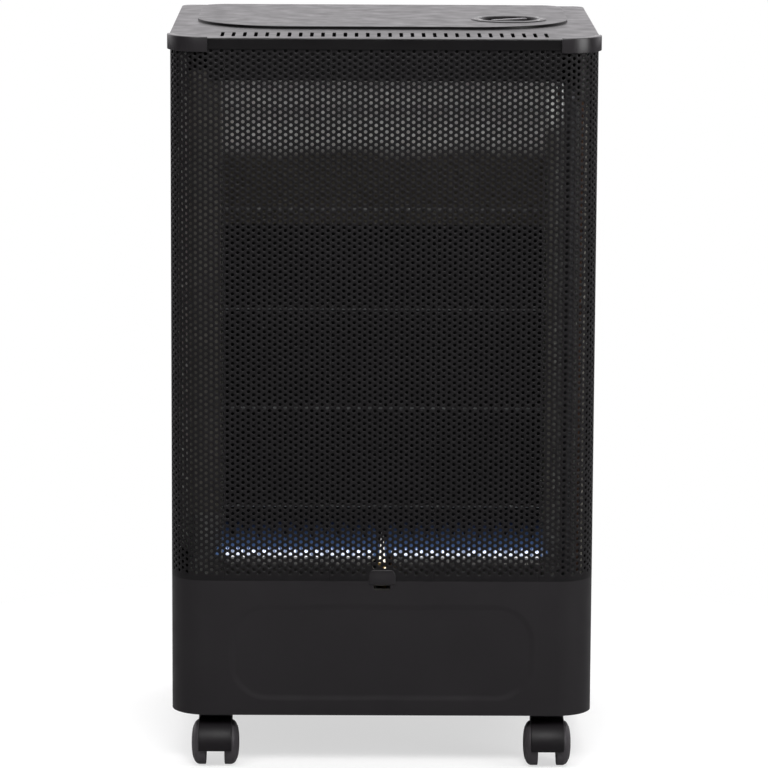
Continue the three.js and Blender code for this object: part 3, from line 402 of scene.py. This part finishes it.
def sheetBlock(firstPair, pairs, first, last):
    # a block of the flat sheet from its first pair of columns on, then rolled round the corners
    bm = bmesh.new()
    column = holes["firstColumn"] + 2 * firstPair
    base = holes["low"] + holes["pitchZ"] / 2
    holeCell(bm, (column + 0.5) * holes["pitchU"], base)
    holeCell(bm, (column + 1.5) * holes["pitchU"], base + holes["pitchZ"] / 2)
    unit = bpy.data.meshes.new("holes")
    bm.to_mesh(unit)
    bm.free()
    spread = bpy.data.objects.new("holes", unit)
    scene.collection.objects.link(spread)
    for count, offset in ((holes["rows"], (0, holes["pitchZ"], 0)), (pairs, (2 * holes["pitchU"], 0, 0))):
        array = spread.modifiers.new("rows", "ARRAY")
        array.use_relative_offset = False
        array.use_constant_offset = True
        array.constant_offset_displace = offset
        array.count = count
    bm = bmesh.new()
    bm.from_object(spread, bpy.context.evaluated_depsgraph_get())
    bpy.data.objects.remove(spread)
    bmesh.ops.remove_doubles(bm, verts=bm.verts, dist=2e-5)
    low = holes["low"]
    high = low + (holes["rows"] + 0.5) * holes["pitchZ"]
    half = holes["pitchZ"] / 2 + 1e-5
    rim = [e for e in bm.edges if e.is_boundary]
    for limit, target in ((low + half, sheet["join"]), (high - half, sheet["top"])):
        inside = [e for e in rim if all(
            (v.co.y < limit if target < 0.5 else v.co.y > limit) for v in e.verts)]
        verts, _ = extrudeBy(bm, inside, (0, 0, 0))
        for v in verts:
            v.co.y = target
    for wanted, side in ((first, -1), (last, 1)):
        if not wanted:
            continue
        edgeU = max(side * v.co.x for v in bm.verts) - holes["pitchU"] * 2 / 3 - 1e-5
        ends = [e for e in bm.edges if e.is_boundary
                and all(side * v.co.x > edgeU - 1e-4 for v in e.verts)
                and not all(abs(v.co.y - sheet["join"]) < 1e-6 for v in e.verts)
                and not all(abs(v.co.y - sheet["top"]) < 1e-6 for v in e.verts)]
        verts, ends = extrudeBy(bm, ends, (0, 0, 0))
        for v in verts:
            v.co.x = side * sheet["end"]
        ends = [e for e in ends if all(abs(v.co.x - side * sheet["end"]) < 1e-6 for v in e.verts)]
        _, ends = extrudeBy(bm, ends, (0, 0, -sheet["flangeBend"]))
        ends = [e for e in ends if all(v.co.z < -mm for v in e.verts)]
        extrudeBy(bm, ends, (0, 0, sheet["flangeBend"] - sheet["flange"]))
    punched = []
    for f in bm.faces:
        if len(f.verts) == 12:
            c = f.calc_center_median()
            if abs(c.x) > holes["blankHalfWidth"] or c.y > holes["blankTop"]:
                punched.append(f)
    bmesh.ops.delete(bm, geom=punched, context="FACES_ONLY")
    bmesh.ops.transform(bm, verts=bm.verts, matrix=toFront)
    wrapRound(bm)
    for f in bm.faces:
        # inside its bend the folded seam is left without paint; its bare zinc is drawn near white, partly a
        # painted highlight
        f.material_index = int(all(abs(v.co.x) < sheet["halfWidth"] - mm for v in f.verts)
                               and all(abs(v.co.y - sheet["returnEnd"]) < 1e-5 for v in f.verts))
    return bm


print("perforated sheet")
done = 0
for index, pairs in enumerate(holes["pairs"]):
    last = index == len(holes["pairs"]) - 1
    block = place(
        sheetBlock(done, pairs, index == 0, last), f"perforated_sheet_{index + 1}", punchedCoatShaded, "cabinet",
        ("front_panel", "front_left_wrap", "front_right_wrap"), 30, sheet["thick"])
    block.data.materials.append(bareSeamHighlight)
    done += pairs

# ---- solid lower part of the front sheet, with its pressing and sight hole

lower = {
    "pressing": (-0.151, 0.151, 0.0685, 0.168), "radius": 0.039,
    "slope": 8.0, "depth": 1.35, "slopeSteps": 10,
    "slot": (-0.008, 0.008, 0.1812, 0.1864), "slotRadius": 1.8 * mm,
    "hood": {"halfWidth": 0.0132, "low": 0.1868, "high": 0.2012, "reach": 1.4 * mm, "gap": 0.05 * mm},
}


def lowerFront():
    bm = bmesh.new()
    s = sheet["straight"]
    outer = openFace(bm, roundedFace(bm, -s, s, sheet["bottom"], sheet["join"], (0, 0, 0, 0)))
    slot = openFace(bm, roundedFace(bm, *lower["slot"], [lower["slotRadius"]] * 4, 4))
    pressed = roundedFace(bm, *lower["pressing"], [lower["radius"]] * 4, 20)
    rim = list(pressed.edges)
    fillBetween(bm, outer + slot + rim)
    count = lower["slopeSteps"]
    levels = [lower["depth"] * (1 - math.cos(math.pi * i / count)) / 2 for i in range(count + 1)]
    for above, below in zip(levels, levels[1:]):
        bmesh.ops.inset_region(
            bm, faces=[pressed], thickness=lower["slope"] / count * mm, depth=(above - below) * mm,
            use_even_offset=True)
    for side in (-1, 1):
        wrap = bmesh.ops.create_grid(bm, x_segments=44, y_segments=1, size=0.5)["verts"]
        span = sheet["end"] - s
        for v in wrap:
            v.co.x = side * (s + span * (v.co.x + 0.5))
            v.co.y = sheet["bottom"] + (sheet["join"] - sheet["bottom"]) * (v.co.y + 0.5)
        ends = [e for e in bm.edges if e.is_boundary
                and all(abs(v.co.x - side * sheet["end"]) < 1e-6 for v in e.verts)]
        extrudeBy(bm, ends, (0, 0, -sheet["flange"]))
    bmesh.ops.remove_doubles(bm, verts=bm.verts, dist=1e-6)
    bmesh.ops.transform(bm, verts=bm.verts, matrix=toFront)
    wrapRound(bm)
    return bm


def sightHood():
    # pressed out over the slot: flush at the top and sides, open below
    hood = lower["hood"]
    bm = bmesh.new()
    bmesh.ops.create_grid(bm, x_segments=22, y_segments=14, size=0.5)
    for v in bm.verts:
        across = v.co.x * 2
        down = 0.5 - v.co.y
        rise = min(1, down / 0.75)
        swell = (rise * rise * (3 - 2 * rise)) * (1 - abs(across) ** 3.2)
        v.co.x = across * hood["halfWidth"] * (0.72 + 0.28 * min(1, down * 2.4) ** 0.5)
        v.co.y = hood["low"] + (hood["high"] - hood["low"]) * (1 - down)
        v.co.z = hood["gap"] + hood["reach"] * swell
    bmesh.ops.transform(bm, verts=bm.verts, matrix=toFront)
    wrapRound(bm)
    return bm


print("lower front")
place(lowerFront(), "front_sheet_lower", powderCoat, "cabinet", (), 30, sheet["thick"])
place(sightHood(), "sight_hood", powderCoat, "cabinet", (), 60, 0.8 * mm)

# ---- lid

lid = {
    "halfWidth": 0.2084, "halfDepth": 0.1834, "top": 0.722, "skirt": 0.7115, "frontRadius": 0.0364,
    "rearRadius": 0.012, "edge": 1.3 * mm, "wall": 1 * mm,
    "plateau": (-0.186, 0.184, -0.084, 0.166), "plateauRadii": (0.095, 0.095, 0.025, 0.025),
    "knobHole": 0.0293,
    "slope": [(0.1, 0.04), (0.06, 1.05), (0.06, 1.0), (0.2, 0.25), (0.4, 0.12), (0.6, 0.04)],
    "slots": {"count": 30, "pitch": 10.8 * mm, "halfWidth": 1.75 * mm, "front": -0.165, "back": -0.123},
}
knobAt = (0.125, 0.0)


def lidShell():
    bm = bmesh.new()
    e = lid["edge"]
    w, d = lid["halfWidth"] - e, lid["halfDepth"] - e
    fr, rr = lid["frontRadius"] - e, lid["rearRadius"] - e
    outer = openFace(bm, roundedFace(bm, -w, w, -d, d, (fr, fr, rr, rr), 14))
    plateau = roundedFace(bm, *lid["plateau"], lid["plateauRadii"], 24)
    rim = list(plateau.edges)
    cuts = []
    slots = lid["slots"]
    for i in range(slots["count"]):
        x = (i - (slots["count"] - 1) / 2) * slots["pitch"]
        h = slots["halfWidth"]
        cuts += openFace(bm, roundedFace(
            bm, x - h, x + h, slots["front"], slots["back"], [h * 0.98] * 4, 4))
    fillBetween(bm, outer + rim + cuts)
    for width, rise in lid["slope"]:
        bmesh.ops.inset_region(
            bm, faces=[plateau], thickness=width * mm, depth=rise * mm, use_even_offset=True)
    inner = openFace(bm, plateau)
    hole = circleEdges(bm, lid["knobHole"], *knobAt, 64)
    for v in {v for edge in hole for v in edge.verts}:
        v.co.z = inner[0].verts[0].co.z
    fillBetween(bm, inner + hole)
    centres = [
        Vector((side * (w - radius), end * (d - radius), 0))
        for side in (-1, 1) for end, radius in ((-1, fr), (1, rr))]
    rolledRim(bm, outer, centres, e, lid["top"] - lid["skirt"])
    bmesh.ops.translate(bm, verts=bm.verts, vec=(0, 0, lid["top"]))
    return bm


def cornerCap(side):
    cap = {"cx": 0.172, "cy": -0.147, "run": 2 * mm}
    # section of the moulding as (distance from the corner's centre, height)
    points = [
        (36.7, 708.7), (37.8, 708.7), (37.99, 708.9), (37.99, 722.2), (37.8, 722.75), (37.35, 723.1),
        (31.6, 723.1), (31.1, 722.9), (31.0, 722.3), (36.7, 722.3),
    ]
    bm = bmesh.new()
    verts, edges = profileChain(
        bm, [(cap["cx"] - cap["run"], cap["cy"] - r * mm, z * mm) for r, z in points], True)
    firstRing = list(edges)
    verts, _ = extrudeBy(bm, edges, (cap["run"], 0, 0))
    ring = [e for v in verts for e in v.link_edges if all(o in verts for o in e.verts)]
    ring = list(set(ring))
    spun = bmesh.ops.spin(
        bm, geom=verts + ring, cent=(cap["cx"], cap["cy"], 0), axis=(0, 0, 1), angle=math.pi / 2,
        steps=20, use_duplicate=False)["geom_last"]
    ring = [g for g in spun if isinstance(g, bmesh.types.BMEdge)]
    verts, _ = extrudeBy(bm, ring, (0, cap["run"], 0))
    ring = list({e for v in verts for e in v.link_edges if all(o in verts for o in e.verts)})
    bmesh.ops.contextual_create(bm, geom=firstRing)
    bmesh.ops.contextual_create(bm, geom=ring)
    if side < 0:
        bmesh.ops.scale(bm, verts=bm.verts, vec=(-1, 1, 1))
    return bm


print("lid")
place(lidShell(), "lid_shell", lidCoat, "cabinet", ("top_lid",), 30, lid["wall"])
for hand, side in (("left", -1), ("right", 1)):
    place(cornerCap(side), f"{hand}_corner_cap", capPlastic, "cabinet", (f"{hand}_lid_cap",), 40)

# ---- knob and bezel

bezel = [
    (9, 707), (28.2, 707), (28.5, 707.3), (28.5, 724.7), (37.4, 724.7), (37.8, 724.85), (37.6, 725.05),
    (36.9, 725.25), (36.2, 725.4), (30.4, 725.4), (29.4, 725.1), (28.1, 724.0), (27.4, 722.6), (27.0, 720.6),
    (27.0, 709.2), (26.4, 708.5), (9, 708.5),
]
marks = {
    "angles": (-28, 0, 28, 152, 180, 208), "radius": 0.0324, "length": 4.2 * mm, "width": 1.1 * mm,
    "z": 0.72543,
}
knob = {
    "dish": [
        (0, 709.5), (7, 709.5), (7, 715), (24.6, 715), (25.3, 715.4), (25.5, 716.2), (25.5, 720),
        (25.2, 720.6), (24.5, 721), (23.8, 720.7), (21.6, 718.4), (20.6, 718), (0, 718),
    ],
    "bar": {
        "halfLength": 22.2, "halfWidth": 4.4, "low": 717, "high": 725, "turn": 35, "taper": 0.82,
        "endTaper": 0.97, "corner": 3.2, "crown": 1.1,
    },
    "pointer": {"middle": 0.0145, "length": 0.010, "width": 1.5 * mm, "z": 0.7249},
}


def spunPiece(profile, steps, centre):
    bm = bmesh.new()
    lathe(bm, [(r * mm, z * mm) for r, z in profile], steps, centre)
    return bm


def gripBar():
    bar = knob["bar"]
    bm = bmesh.new()
    bmesh.ops.create_cube(bm, size=1)
    low, high = bar["low"] * mm, bar["high"] * mm
    for v in bm.verts:
        v.co.x *= 2 * bar["halfLength"] * mm * (bar["endTaper"] if v.co.z > 0 else 1)
        v.co.y *= 2 * bar["halfWidth"] * mm * (bar["taper"] if v.co.z > 0 else 1)
        v.co.z = high if v.co.z > 0 else low
    upright = [e for e in bm.edges if abs(e.verts[0].co.z - e.verts[1].co.z) > 1 * mm]
    bmesh.ops.bevel(
        bm, geom=upright, offset=bar["corner"] * mm, offset_type="OFFSET", segments=6, profile=0.5,
        affect="EDGES", material=-1)
    crown = [e for e in bm.edges if all(v.co.z > high - 1e-6 for v in e.verts)]
    bmesh.ops.bevel(
        bm, geom=crown, offset=bar["crown"] * mm, offset_type="OFFSET", segments=4, profile=0.5,
        affect="EDGES", material=-1)
    bmesh.ops.rotate(bm, verts=bm.verts, cent=(0, 0, 0),
                     matrix=Matrix.Rotation(math.radians(bar["turn"]), 3, "Z"))
    bmesh.ops.translate(bm, verts=bm.verts, vec=(*knobAt, 0))
    return bm


def flatMark(style, radius, turn):
    # a painted stroke that points away from the knob's middle
    x, y = knobAt[0] + radius * math.cos(turn), knobAt[1] + radius * math.sin(turn)
    bm = bmesh.new()
    bmesh.ops.create_cube(bm, size=1)
    bmesh.ops.scale(bm, verts=bm.verts, vec=(style["length"], style["width"], 0.12 * mm))
    bmesh.ops.rotate(bm, verts=bm.verts, cent=(0, 0, 0), matrix=Matrix.Rotation(turn, 3, "Z"))
    bmesh.ops.translate(bm, verts=bm.verts, vec=(x, y, style["z"]))
    return bm


print("knob")
place(spunPiece(bezel, 96, knobAt), "bezel_ring", bezelPlastic, "cabinet", ("knob_bezel",), 40)
place(spunPiece(knob["dish"], 80, knobAt), "knob_dish", knobPlastic, "knob", ("control_knob",), 40)
place(gripBar(), "knob_bar", knobPlastic, "knob", (), 40)
barTurn = math.radians(knob["bar"]["turn"])
place(
    flatMark(knob["pointer"], knob["pointer"]["middle"], barTurn), "knob_pointer", markPaint, "knob")
for index, angle in enumerate(marks["angles"]):
    place(
        flatMark(marks, marks["radius"], math.radians(angle)), f"bezel_mark_{index + 1}", markPaint,
        "cabinet")

# ---- side panels and back

body = {
    "w": 0.207, "back": 0.180, "seam": -0.0297, "bottom": 0.055, "top": 0.7207, "bend": 0.010,
    "seamBend": 1.6 * mm, "seamFlange": 0.012, "rearFlange": 0.020, "wall": 1 * mm,
}


def sideSheet(side):
    w = body["w"]
    path = [
        (w - body["seamFlange"], body["seam"]), (w, body["seam"]), (w, body["back"]),
        (w - body["rearFlange"], body["back"]),
    ]
    bends = {(w, body["seam"]): (body["seamBend"], 4), (w, body["back"]): (body["bend"], 12)}
    bm = foldedSheet(path, bends, body["bottom"], body["top"])
    if side < 0:
        bmesh.ops.scale(bm, verts=bm.verts, vec=(-1, 1, 1))
    return bm


cover = {
    "halfWidth": 0.201, "bottom": 0.060, "top": 0.660, "radius": 0.012, "face": 0.185, "landing": 0.1803,
    "edge": 1.6 * mm, "wall": 1 * mm,
    "slots": {
        "x": 0.090, "half": 0.055, "bases": (0.150, 0.510), "rows": 4, "pitch": 0.026, "height": 8 * mm,
    },
}


def rearPan():
    bm = bmesh.new()
    e = cover["edge"]
    w, z0, z1, r = cover["halfWidth"] - e, cover["bottom"] + e, cover["top"] - e, cover["radius"] - e
    outer = openFace(bm, roundedFace(bm, -w, w, z0, z1, [r] * 4, 8))
    cuts = []
    slots = cover["slots"]
    for x in (-slots["x"], slots["x"]):
        for base in slots["bases"]:
            for row in range(slots["rows"]):
                z = base + row * slots["pitch"]
                cuts += openFace(bm, roundedFace(
                    bm, x - slots["half"], x + slots["half"], z, z + slots["height"],
                    [slots["height"] * 0.49] * 4, 5))
    fillBetween(bm, outer + cuts, True)
    centres = [Vector((side * (w - r), z, 0)) for side in (-1, 1) for z in (z0 + r, z1 - r)]
    rolledRim(bm, outer, centres, e, cover["face"] - cover["landing"])
    bmesh.ops.transform(
        bm, verts=bm.verts,
        matrix=Matrix.Translation((0, cover["face"], 0)) @ Matrix.Rotation(math.pi, 4, "Z") @ toFront)
    return bm


print("sides and back")
for hand, side in (("left", -1), ("right", 1)):
    place(sideSheet(side), f"{hand}_side_sheet", powderCoat, "cabinet", (f"{hand}_side_panel",), 30,
          body["wall"])
place(rearPan(), "rear_pan", powderCoat, "back", ("rear_cover",), 30, cover["wall"])

# ---- castors

castor = {
    "x": 0.164, "y": 0.1475, "trail": -12, "z": 22.3, "wheel": 22.3,
    "hood": 25.2, "hoodWall": 1.6, "hoodHalf": 16.5, "hoodStart": 20, "hoodTurn": 168.5,
    "webThick": 17.6, "webLow": 4, "neckLow": 41, "neckTop": 52.2, "neckDepth": 21,
}


def wheelSolid(side):
    r = castor["wheel"]
    profile = [
        (0, 21), (3.4, 21), (3.4, 9.2), (9, 9.2), (9.6, 9.9), (18, 9.9), (18.6, 9.2), (r - 0.9, 9.2),
        (r - 0.25, 9.45), (r, 10.1), (r, 15.6), (r - 0.3, 16.9), (r - 1.2, 18.6), (r - 2.8, 20.1),
        (r - 4.6, 21.0), (r - 5.4, 21.15), (r - 6.0, 21.75), (r - 9, 22.6), (9, 23.2), (6.4, 23.4),
        (5.6, 23.0), (0, 23.0),
    ]
    bm = bmesh.new()
    lathe(bm, [(rad * mm, z * mm) for rad, z in profile], 56)
    bmesh.ops.rotate(bm, verts=bm.verts, cent=(0, 0, 0), matrix=Matrix.Rotation(math.pi / 2, 3, "Y"))
    if side < 0:
        bmesh.ops.rotate(bm, verts=bm.verts, cent=(0, 0, 0), matrix=Matrix.Rotation(math.pi, 3, "Z"))
    bmesh.ops.translate(bm, verts=bm.verts, vec=(0, castor["trail"] * mm, castor["z"] * mm))
    return bm


def hoodSolid():
    # arched hood, its side edges rounded, on a web that fills the space between the wheels
    bm = bmesh.new()
    half, outer, inner = castor["hoodHalf"], castor["hood"], castor["hood"] - castor["hoodWall"]
    section = [
        (-half, inner), (half, inner), (half, outer - 1.3), (half - 0.4, outer - 0.4), (half - 1.4, outer),
        (-half + 1.4, outer), (-half + 0.4, outer - 0.4), (-half, outer - 1.3),
    ]
    centre = (0, castor["trail"] * mm, castor["z"] * mm)
    verts, edges = profileChain(
        bm, [(x * mm, centre[1] + r * mm, centre[2]) for x, r in section], True)
    bmesh.ops.rotate(bm, verts=verts, cent=centre, matrix=Matrix.Rotation(
        math.radians(castor["hoodStart"]), 3, "X"))
    bmesh.ops.contextual_create(bm, geom=edges)
    bmesh.ops.spin(
        bm, geom=bm.faces[:], cent=centre, axis=(1, 0, 0), angle=math.radians(castor["hoodTurn"]),
        steps=36, use_duplicate=False)
    web = bmesh.ops.create_circle(bm, cap_ends=True, segments=64, radius=(outer - 0.8) * mm)["verts"]
    webFace = web[0].link_faces[0]
    raised = bmesh.ops.extrude_face_region(bm, geom=[webFace])["geom"]
    top = [g for g in raised if isinstance(g, bmesh.types.BMVert)]
    bmesh.ops.translate(bm, verts=top, vec=(0, 0, castor["webThick"] * mm))
    whole = web + top
    bmesh.ops.translate(bm, verts=whole, vec=(0, 0, -castor["webThick"] / 2 * mm))
    bmesh.ops.rotate(bm, verts=whole, cent=(0, 0, 0), matrix=Matrix.Rotation(math.pi / 2, 3, "Y"))
    bmesh.ops.translate(bm, verts=whole, vec=centre)
    geom = whole + list({e for v in whole for e in v.link_edges})
    geom += list({f for v in whole for f in v.link_faces})
    cut = bmesh.ops.bisect_plane(
        bm, geom=geom, plane_co=(0, centre[1], centre[2] - castor["webLow"] * mm), plane_no=(0, 0, -1),
        clear_outer=True)
    rim = [g for g in cut["geom_cut"] if isinstance(g, bmesh.types.BMEdge)]
    bmesh.ops.holes_fill(bm, edges=rim, sides=0)
    neck = bmesh.ops.create_cube(bm, size=1)["verts"]
    for v in neck:
        v.co.x *= 2 * half * mm
        v.co.y *= castor["neckDepth"] * mm
        v.co.z = (castor["neckTop"] if v.co.z > 0 else castor["neckLow"]) * mm
    sides = {e for v in neck for e in v.link_edges}
    upright = [e for e in sides if abs(e.verts[0].co.z - e.verts[1].co.z) > mm]
    bmesh.ops.bevel(bm, geom=upright, offset=5 * mm, offset_type="OFFSET", segments=6, profile=0.5,
                    affect="EDGES", material=-1)
    return bm


def axlePin():
    bm = bmesh.new()
    bmesh.ops.create_cone(bm, cap_ends=True, segments=24, radius1=3 * mm, radius2=3 * mm, depth=40.8 * mm)
    bmesh.ops.rotate(bm, verts=bm.verts, cent=(0, 0, 0), matrix=Matrix.Rotation(math.pi / 2, 3, "Y"))
    bmesh.ops.translate(bm, verts=bm.verts, vec=(0, castor["trail"] * mm, castor["z"] * mm))
    return bm


def moved(bm, offset):
    bmesh.ops.translate(bm, verts=bm.verts, vec=offset)
    return bm


print("castors")
for end, sy in (("front", -1), ("rear", 1)):
    for hand, sx in (("left", -1), ("right", 1)):
        label = f"{end}_{hand}"
        at = (sx * castor["x"], sy * castor["y"], 0)
        place(moved(hoodSolid(), at), f"castor_shell_{label}", castorPlastic, f"castor_{label}",
              (f"castor_hood_{label}",), 35, 0, 0.3 * mm)
        place(moved(axlePin(), at), f"castor_pin_{label}", brightPlate, f"castor_{label}",
              (f"castor_axle_{label}",))
        for which, way in (("left", -1), ("right", 1)):
            place(moved(wheelSolid(way), at), f"wheel_{label}_{which}", wheelPlastic,
                  f"wheel_{label}_{which}", (f"castor_wheel_{label}_{which}",), 30)

# ---- flames


def flameMaterial(name, low, high, strength, base, height):
    # burning gas: brightest just above its foot, fading out upwards
    material = bpy.data.materials.new(name)
    material.use_nodes = True
    tree = material.node_tree
    tree.nodes.clear()
    coords = addNode(tree, "ShaderNodeTexCoord")
    split = addNode(tree, "ShaderNodeSeparateXYZ", None, {"Vector": coords.outputs["Object"]})
    up = ramp(tree, split.outputs["Z"], 0, 1, base, base + height)
    colour = mixColour(tree, up, linear(low), linear(high))
    glow = addNode(tree, "ShaderNodeEmission", {"Strength": strength}, {"Color": colour})
    clear = addNode(tree, "ShaderNodeBsdfTransparent")
    fade = addNode(tree, "ShaderNodeMath", {"operation": "POWER", 1: 0.6}, {0: up})
    mix = addNode(tree, "ShaderNodeMixShader")
    tree.links.new(fade.outputs[0], mix.inputs[0])
    tree.links.new(glow.outputs[0], mix.inputs[1])
    tree.links.new(clear.outputs[0], mix.inputs[2])
    out = addNode(tree, "ShaderNodeOutputMaterial")
    tree.links.new(mix.outputs[0], out.inputs["Surface"])
    return material


flame = {
    "base": 0.2095, "y": -0.148, "pitch": 2.6 * mm, "first": 0.0105, "ports": 56,
    "cone": {"half": 1.9 * mm, "depth": 6 * mm, "height": 0.0075},
    "veil": {"half": 11 * mm, "depth": 8 * mm, "height": 0.036, "every": 5},
    "pilot": {"half": 4.6 * mm, "depth": 3.6 * mm, "height": 0.052, "base": 0.19, "y": -0.163},
}
coneGlow = flameMaterial("flame cone", "ffffff", "a9bcf0", 8.0, flame["base"], flame["cone"]["height"])
veilGlow = flameMaterial("flame veil", "6788c0", "1c2f58", 0.42, flame["base"], flame["veil"]["height"])
pilotGlow = flameMaterial("pilot flame", "fff4d8", "c4c8d8", 2.2, 0.188, 0.062)


def flameRow(places, y, base, size):
    # one narrow cone at each place, flattened to its half width and depth
    height = size["height"]
    bm = bmesh.new()
    for x in places:
        bmesh.ops.create_cone(
            bm, cap_ends=False, segments=10, radius1=1, radius2=0.08, depth=1,
            matrix=Matrix.Translation((x, y, base + height / 2))
            @ Matrix.Diagonal((size["half"], size["depth"], height, 1)))
    return bm


print("flames")
for name, way in (("left", -1), ("right", 1)):
    ports = [way * (flame["first"] + flame["pitch"] * i) for i in range(flame["ports"])]
    place(flameRow(ports, flame["y"], flame["base"], flame["cone"]),
          f"flame_cones_{name}", coneGlow, "cabinet")
    place(flameRow(ports[::flame["veil"]["every"]], flame["y"], flame["base"], flame["veil"]),
          f"flame_veil_{name}", veilGlow, "cabinet")
pilot = flame["pilot"]
place(flameRow([0], pilot["y"], pilot["base"], pilot), "flame_pilot", pilotGlow, "cabinet")

# ---- finishes of the pieces that keep their first shape

finishes = {
    "base_tray": powderCoat, "rear_cross_rail": powderCoat, "front_header": enamel, "firebox_back": enamel,
    "gas_valve_body": castMetal, "valve_bracket": zinc, "piezo_igniter": bezelPlastic,
    "hose_tail": brassMetal, "gas_pipe": pipePlate, "pilot_pipe": tubeMetal, "thermocouple": copperMetal,
    "ignition_lead": siliconeSleeve, "injector_block": brassMetal, "burner_left": aluminised,
    "burner_right": aluminised, "burner_shelf": zincShelf, "pilot_burner": brassMetal,
    "spark_electrode": ceramicGlaze, "firebox_left_wall": zincShelf, "firebox_right_wall": zincWall,
    "top_deflector": zincDarkBelow, "heat_shield": zinc, "thrust_washer": brightPlate,
    "knob_spindle": brightPlate,
}
for index in range(1, 6):
    finishes[f"guard_wire_{index}"] = brightPlate
for label in ("front_left", "front_right", "rear_left", "rear_right"):
    finishes[f"castor_plate_{label}"] = castorPlastic
for name, material in finishes.items():
    nodes[name].data.materials.clear()
    nodes[name].data.materials.append(material)

# ---- floor, light and camera

print("stage")
floorMesh = bmesh.new()
bmesh.ops.create_grid(floorMesh, x_segments=1, y_segments=1, size=30)
mesh = bpy.data.meshes.new("floor")
floorMesh.to_mesh(mesh)
floorMesh.free()
# the paper sweeps up to plain white away from the object; reflections see it dimmer
paper, tree, shader, coords = newMaterial("white paper floor", {"Roughness": 0.9, "Specular IOR Level": 0.1})
tree.links.new(
    mixColour(tree, noiseAt(tree, coords, 400, 2), linear("fafafa"), linear("fdfdfd")),
    shader.inputs["Base Color"])
path = addNode(tree, "ShaderNodeLightPath")
reach = addNode(tree, "ShaderNodeVectorMath", {"operation": "LENGTH"}, {0: coords})
far = ramp(tree, reach.outputs["Value"], 0.62, 1, 0.28, 0.7)
seen = addNode(tree, "ShaderNodeMath", {"operation": "MULTIPLY"}, {0: far, 1: path.outputs["Is Camera Ray"]})
paperGlow = addNode(tree, "ShaderNodeEmission", {"Color": (1, 1, 1, 1), "Strength": 1.0})
dim = addNode(tree, "ShaderNodeBsdfDiffuse", {"Color": linear("8c8c8c")})
mirrored = addNode(
    tree, "ShaderNodeMixShader", None,
    {0: path.outputs["Is Glossy Ray"], 1: shader.outputs[0], 2: dim.outputs[0]})
whole = addNode(
    tree, "ShaderNodeMixShader", None, {0: seen.outputs[0], 1: mirrored.outputs[0], 2: paperGlow.outputs[0]})
tree.links.new(whole.outputs[0], tree.nodes["Material Output"].inputs["Surface"])
mesh.materials.append(paper)
floor = bpy.data.objects.new("floor", mesh)
scene.collection.objects.link(floor)

world = bpy.data.worlds.new("studio")
scene.world = world
world.use_nodes = True
tree = world.node_tree
tree.nodes.clear()
path = addNode(tree, "ShaderNodeLightPath")
coords = addNode(tree, "ShaderNodeTexCoord")
way = addNode(tree, "ShaderNodeSeparateXYZ", None, {"Vector": coords.outputs["Generated"]})
level = ramp(tree, way.outputs["Y"], 0, 1.3, 0.05, 0.6)
studio = addNode(tree, "ShaderNodeBackground", {"Color": (1, 0.97, 1, 1)}, {"Strength": level})
white = addNode(tree, "ShaderNodeBackground", {"Color": (1, 1, 1, 1), "Strength": 1.0})
mix = addNode(tree, "ShaderNodeMixShader")
tree.links.new(path.outputs["Is Camera Ray"], mix.inputs[0])
tree.links.new(studio.outputs[0], mix.inputs[1])
tree.links.new(white.outputs[0], mix.inputs[2])
output = addNode(tree, "ShaderNodeOutputWorld")
tree.links.new(mix.outputs[0], output.inputs["Surface"])


def softLamp(name, size, power, position, target):
    lamp = bpy.data.lights.new(name, "AREA")
    lamp.shape = "RECTANGLE"
    lamp.size, lamp.size_y = size
    lamp.energy = power
    holder = bpy.data.objects.new(name, lamp)
    scene.collection.objects.link(holder)
    aim = Vector(target) - Vector(position)
    holder.matrix_world = Matrix.Translation(position) @ aim.to_track_quat("-Z", "Y").to_matrix().to_4x4()
    return holder


softLamp("key", (1.6, 1.6), 60, (-1.6, -2.4, 2.6), (0, 0, 0.35))
softLamp("fill", (1.4, 1.8), 46, (2.4, -1.4, 1.4), (0, 0, 0.35))
softLamp("front", (1.2, 0.8), 75, (0.3, -2.6, 2.7), (0, 0, 0.5))
softLamp("top", (2.4, 1.6), 45, (0, 0.6, 2.8), (0, 0, 0.4))

view = {
    "at": (-0.0247, -4.3515, 1.1163), "yaw": -0.352, "pitch": 9.933, "roll": 0.282, "focal": 4359.3,
}
cameraData = bpy.data.cameras.new("view")
cameraData.sensor_width = 36
cameraData.lens = view["focal"] / 768 * 36
cameraData.clip_end = 100
camera = bpy.data.objects.new("view", cameraData)
scene.collection.objects.link(camera)
camera.matrix_world = (
    Matrix.Translation(view["at"])
    @ Matrix.Rotation(math.radians(view["yaw"]), 4, "Z")
    @ Matrix.Rotation(math.radians(90 - view["pitch"]), 4, "X")
    @ Matrix.Rotation(math.radians(view["roll"]), 4, "Z"))
scene.camera = camera
scene.view_settings.view_transform = "Standard"
